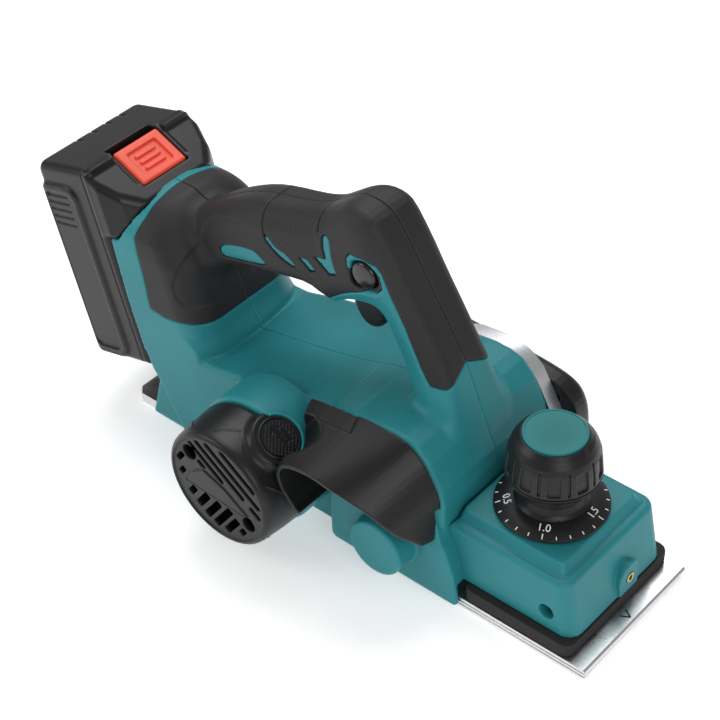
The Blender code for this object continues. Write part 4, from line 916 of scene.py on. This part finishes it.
def trigger(x, y, z):
    """Curved lever with a finely ribbed face."""
    px, pz = TRIGGER_PIVOT
    side = smooth([(px + 2.4, pz + 2.2), (px - 18, pz + 1.2), (px - 20, pz - 3),
                   (px - 19.6, pz - 11), (px - 17, pz - 19), (px - 13, pz - 23.6),
                   (px - 7.5, pz - 24.8), (px - 2.5, pz - 22.0), (px + 1, pz - 16),
                   (px + 2.4, pz - 6)], 2)
    shape = both(outline(side, x, z), np.abs(y) - 7.0, 3.0)
    ribs = 0.12 * np.cos(z * 2.0 * math.pi / 2.2) * step(-x, 48.0, 49.5)
    return minus(shape + ribs, disc(x, z, px, pz, 1.5))


def lock_button(x, y, z):
    """Crowned pin through the handle."""
    d = np.hypot(x - LOCK[0], z - LOCK[1])
    return both(d - 6.9, np.abs(y) - 17.9 + 0.012 * d * d, 1.6)


def cover_line():
    """Outline of the belt cover, round at the motor."""
    line = []
    for i in range(17):
        angle = math.radians(95.0 + 165.0 * i / 16.0)
        line.append((MOTOR[0] + 33.0 * math.cos(angle), MOTOR[1] + 33.0 * math.sin(angle)))
    line += [(-60, 5.4), (-20, 2.5), (30, 2.5), (40, 8), (40.4, 48), (37.5, 62), (30, 69.5),
             (14, 72.2), (-14, 73.4), (-50, 74.6)]
    return smooth(line, 2)


COVER_SCREWS = ((-96.0, 30.0), (30.0, 12.0), (26.0, 62.0))


def belt_guard(x, y, z):
    """Dished belt cover with slanted vents and sunk screw seats."""
    line = outline(cover_line(), x, z)
    shape = both(line, between(y, 49.3, 62.0), 0.1)
    shape = both(shape, both(line, y - 62.0, 6.0))
    panel = both(line + 11.0, 61.4 - y)
    shape = minus(shape, panel, 0.5)
    for i in range(6):
        at = -30.0 + 9.0 * i
        vent = both(rect(x - 0.35 * (z - 36.0), z, at - 1.4, at + 1.4, 24.0, 52.0, 1.3), 59.5 - y)
        shape = minus(shape, vent, 0.5)
    shape = np.maximum(shape, -both(both(line + 3.0, x - 22.5), y - 59.0))
    for cx, cz in COVER_SCREWS:
        shape = either(shape, both(disc(x, z, cx, cz, 4.6), between(y, 49.3, 60.4)), 0.4)
        shape = minus(shape, both(disc(x, z, cx, cz, 3.9), 59.0 - y), 0.2)
        shape = np.maximum(shape, -disc(x, z, cx, cz, 2.2))
    return shape


# ------------------------------------------------------------------ build

def soften(node, name, material, body, slot, width=0.35):
    """Copy of a CAD piece with its edges broken."""
    source = frame["nodes"][node]
    obj = bpy.data.objects.new(name, source.data.copy())
    bpy.context.scene.collection.objects.link(obj)
    weld = obj.modifiers.new("weld", "WELD")
    weld.merge_threshold = 0.00001
    if width > 0.0:
        edge = obj.modifiers.new("edge", "BEVEL")
        edge.width = width * MM
        edge.segments = 2
        edge.limit_method = "ANGLE"
        edge.angle_limit = math.radians(32.0)
    apply_modifiers(obj)
    even = obj.modifiers.new("even", "WEIGHTED_NORMAL")
    even.keep_sharp = True
    apply_modifiers(obj)
    return finish_piece(obj, material, body, slot, node)


FINISH = {"teal_plastic": TEAL, "black_plastic": BLACK, "black_rubber": RUBBER, "red_plastic": RED,
          "cast_aluminium": CAST, "milled_aluminium": MILLED, "steel": STEEL, "dark_steel": DARK,
          "brass": BRASS, "copper": COPPER, "belt_rubber": BELT, "circuit_board": BOARD,
          "cell_wrap": WRAP}


def build():
    replaced = set()

    def piece(obj, material, body, slot, *nodes):
        replaced.update(nodes)
        return finish_piece(obj, material, body, slot, *nodes)

    def broken(node, name, material, body, slot, width=0.35):
        replaced.add(node)
        return soften(node, name, material, body, slot, width)

    for side, word in ((-1, "right"), (1, "left")):
        low, high = (-60.5, 1.0) if side < 0 else (-1.0, 50.0)
        shell = solid(f"casing_{word}", half_casing(side, True),
                      (-187, low, 1), (41, high, 157), 0.8)
        piece(shell, TEAL, "root", "teal_plastic", f"body_shell_{word}")
        low, high = (-36.5, 1.0) if side < 0 else (-1.0, 36.5)
        skin = solid(f"rubber_{word}", half_casing(side, False),
                     (-187, low, 72), (12, high, 179), 0.65)
        piece(skin, RUBBER, "root", "black_rubber", f"grip_overmold_{word}")
    piece(solid("motor_cover", motor_cover, (-108, -87.5, 6), (-36, -50, 78), 0.5),
          BLACK, "root", "black_plastic", "motor_housing")
    piece(solid("brush_screw_cap", cap, (-66, -74.5, 57), (-38, -49.5, 81), 0.28),
          BLACK, "root", "black_plastic", "brush_cap")
    piece(solid("chute", chute, (-53, -78, 30), (31, -40, 92), 0.55),
          BLACK, "root", "black_plastic", "chip_chute")
    piece(solid("front_block", block, (27, -38, 13), (103, 38, 52), 0.6),
          TEAL, "root", "teal_plastic", "front_housing")
    piece(solid("knob_grip", knob, (36, -24, 52), (84, 24, 95.5), 0.42),
          BLACK, "knob", "black_plastic", "depth_knob")
    cap_disc = lathe("knob_disc", [(0.0001, 92.7), (15.1, 92.7), (15.1, 94.4), (14.8, 94.7),
                                   (14.1, 94.7), (13.9, 94.35), (0.0001, 94.2)], (KNOB_X, 0.0))
    piece(cap_disc, CAP_TEAL, "knob", "teal_plastic", "knob_cap")
    marked = dial()
    replaced.add("depth_dial")
    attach(marked, "knob")
    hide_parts("depth_dial")
    piece(solid("pack_rear", pack_part(False), (-241, -39, 20), (-170, 39, 145), 0.6),
          BATTERY, "battery", "black_plastic", "battery_case_rear")
    piece(solid("pack_front", pack_part(True), (-205, -38, 28), (-155, 38, 147), 0.6),
          BATTERY, "battery", "black_plastic", "battery_case_front")
    piece(solid("pack_latch", latch, (-206, -16.5, 124), (-175, 16.5, 145), 0.35),
          RED, "latch", "red_plastic", "battery_latch")
    piece(solid("trigger_lever", trigger, (-55, -8.5, 104), (-28, 8.5, 136), 0.45),
          BLACK, "trigger", "black_plastic", "trigger")
    piece(solid("lock_off_pin", lock_button, (-44.5, -19, 137), (-27.5, 19, 155), 0.45),
          GLOSS, "lock_button", "black_plastic", "lock_off_button")
    piece(solid("belt_guard", belt_guard, (-107, 48, 1), (42, 63.5, 77), 0.6),
          BLACK, "root", "black_plastic", "belt_cover")
    broken("rear_base", "sole_rear", MILLED, "root", "milled_aluminium", 0.5)
    shoe = broken("front_shoe", "sole_front", MILLED, "shoe", "milled_aluminium", 0.6)
    strokes = [engraved([(103.2, -3.6), (107.6, -1.2)], SHOE_TOP),
               engraved([(107.6, -1.2), (103.2, 1.2)], SHOE_TOP)]
    join([shoe] + [dress(stroke, GLOSS) for stroke in strokes], "sole_front")
    broken("drum_frame", "drum_housing", CAST, "root", "cast_aluminium", 0.4)
    broken("park_foot", "rest_foot", BLACK, "foot", "black_plastic", 0.6)
    broken("cutter_drum", "drum_body", CAST, "drum", "cast_aluminium", 0.25)
    for i in (1, 2, 3):
        broken(f"belt_cover_screw_{i}", f"cover_screw_{i}", STEEL, "root", "steel", 0.2)
    broken("fence_insert", "fence_bush", BRASS, "root", "brass", 0.15)
    skirt = broken("shoe_gasket", "shoe_skirt", GASKET, "root", "black_rubber", 0.5)
    spring = broken("depth_spring", "shoe_spring", STEEL, "root", "steel", 0.0)
    for soft, top, keep in ((skirt, 13.7, 0.76), (spring, 26.0, 0.70)):
        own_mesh(soft)
    for entry in frame["record"]["subparts"]:
        if entry["node"] not in replaced:
            dress(frame["nodes"][entry["node"]], FINISH[entry["material_slot"]])


def engraved(line, level):
    """Dark stroke of a mark on a flat top."""
    (ax, ay), (bx, by) = line
    length = math.hypot(bx - ax, by - ay)
    nx, ny = -(by - ay) / length * 0.4, (bx - ax) / length * 0.4
    plan = [(ax + nx, ay + ny), (bx + nx, by + ny), (bx - nx, by - ny), (ax - nx, ay - ny)]
    return bar("stroke", plan, level - 0.2, level + 0.06, "Z", 0.0)


CAMERA_LENS = 94.08
CAMERA_AT = (405.524, -511.546, 665.689)
CAMERA_TURN = (42.0004, 40.6426, -2.2812)       # degrees round, up and of roll


def set_stage():
    """Pale floor, soft lights and the camera; metres in here, but for the camera's place."""
    mesh = bpy.data.meshes.new("floor")
    s = 6.0
    under = -0.0004
    mesh.from_pydata([(-s, -s, under), (s, -s, under), (s, s, under), (-s, s, under)], [],
                     [(0, 1, 2, 3)])
    floor = bpy.data.objects.new("floor", mesh)
    bpy.context.scene.collection.objects.link(floor)
    material, tree, shader = nodes_of("floor")
    shader.inputs["Base Color"].default_value = (0.93, 0.93, 0.93, 1.0)
    shader.inputs["Roughness"].default_value = 0.9
    shader.inputs["Specular IOR Level"].default_value = 0.1
    shader.inputs["Emission Color"].default_value = (1.0, 1.0, 1.0, 1.0)
    shader.inputs["Emission Strength"].default_value = 0.4
    floor.data.materials.append(material)

    world = bpy.data.worlds.new("studio")
    bpy.context.scene.world = world
    world.use_nodes = True
    back = world.node_tree.nodes["Background"]
    back.inputs["Color"].default_value = (1.0, 1.0, 1.0, 1.0)
    back.inputs["Strength"].default_value = 0.34
    bpy.context.scene.view_settings.view_transform = "Standard"

    target = Vector((0.06, 0.0, 0.07))
    for name, place, size, power in (
            ("key", (-0.45, 0.55, 1.45), 1.1, 15.5),
            ("front", (1.25, -0.75, 0.9), 0.8, 7.0),
            ("side", (-1.0, -1.0, 0.9), 0.8, 6.5)):
        light = bpy.data.lights.new(name, "AREA")
        light.shape = "SQUARE"
        light.size = size
        light.energy = power
        lamp = bpy.data.objects.new(name, light)
        lamp.location = place
        lamp.rotation_euler = (target - Vector(place)).to_track_quat("-Z", "Y").to_euler()
        bpy.context.scene.collection.objects.link(lamp)

    camera = bpy.data.cameras.new("camera")
    camera.lens = CAMERA_LENS
    camera.sensor_width = 36.0
    camera.clip_start = 0.05
    eye = bpy.data.objects.new("camera", camera)
    a, e, r = (math.radians(v) for v in CAMERA_TURN)
    right = Vector((math.cos(a), math.sin(a), 0.0))
    back_axis = Vector((math.sin(a) * math.cos(e), -math.cos(a) * math.cos(e), math.sin(e)))
    up = back_axis.cross(right)
    side = right * math.cos(r) + up * math.sin(r)
    above = up * math.cos(r) - right * math.sin(r)
    turn = Matrix((side, above, back_axis)).transposed().to_4x4()
    place = Vector((CAMERA_AT[0] + DRUM_X, CAMERA_AT[1], CAMERA_AT[2])) * MM
    eye.matrix_world = Matrix.Translation(place) @ turn
    bpy.context.scene.collection.objects.link(eye)
    bpy.context.scene.camera = eye


build()
set_stage()
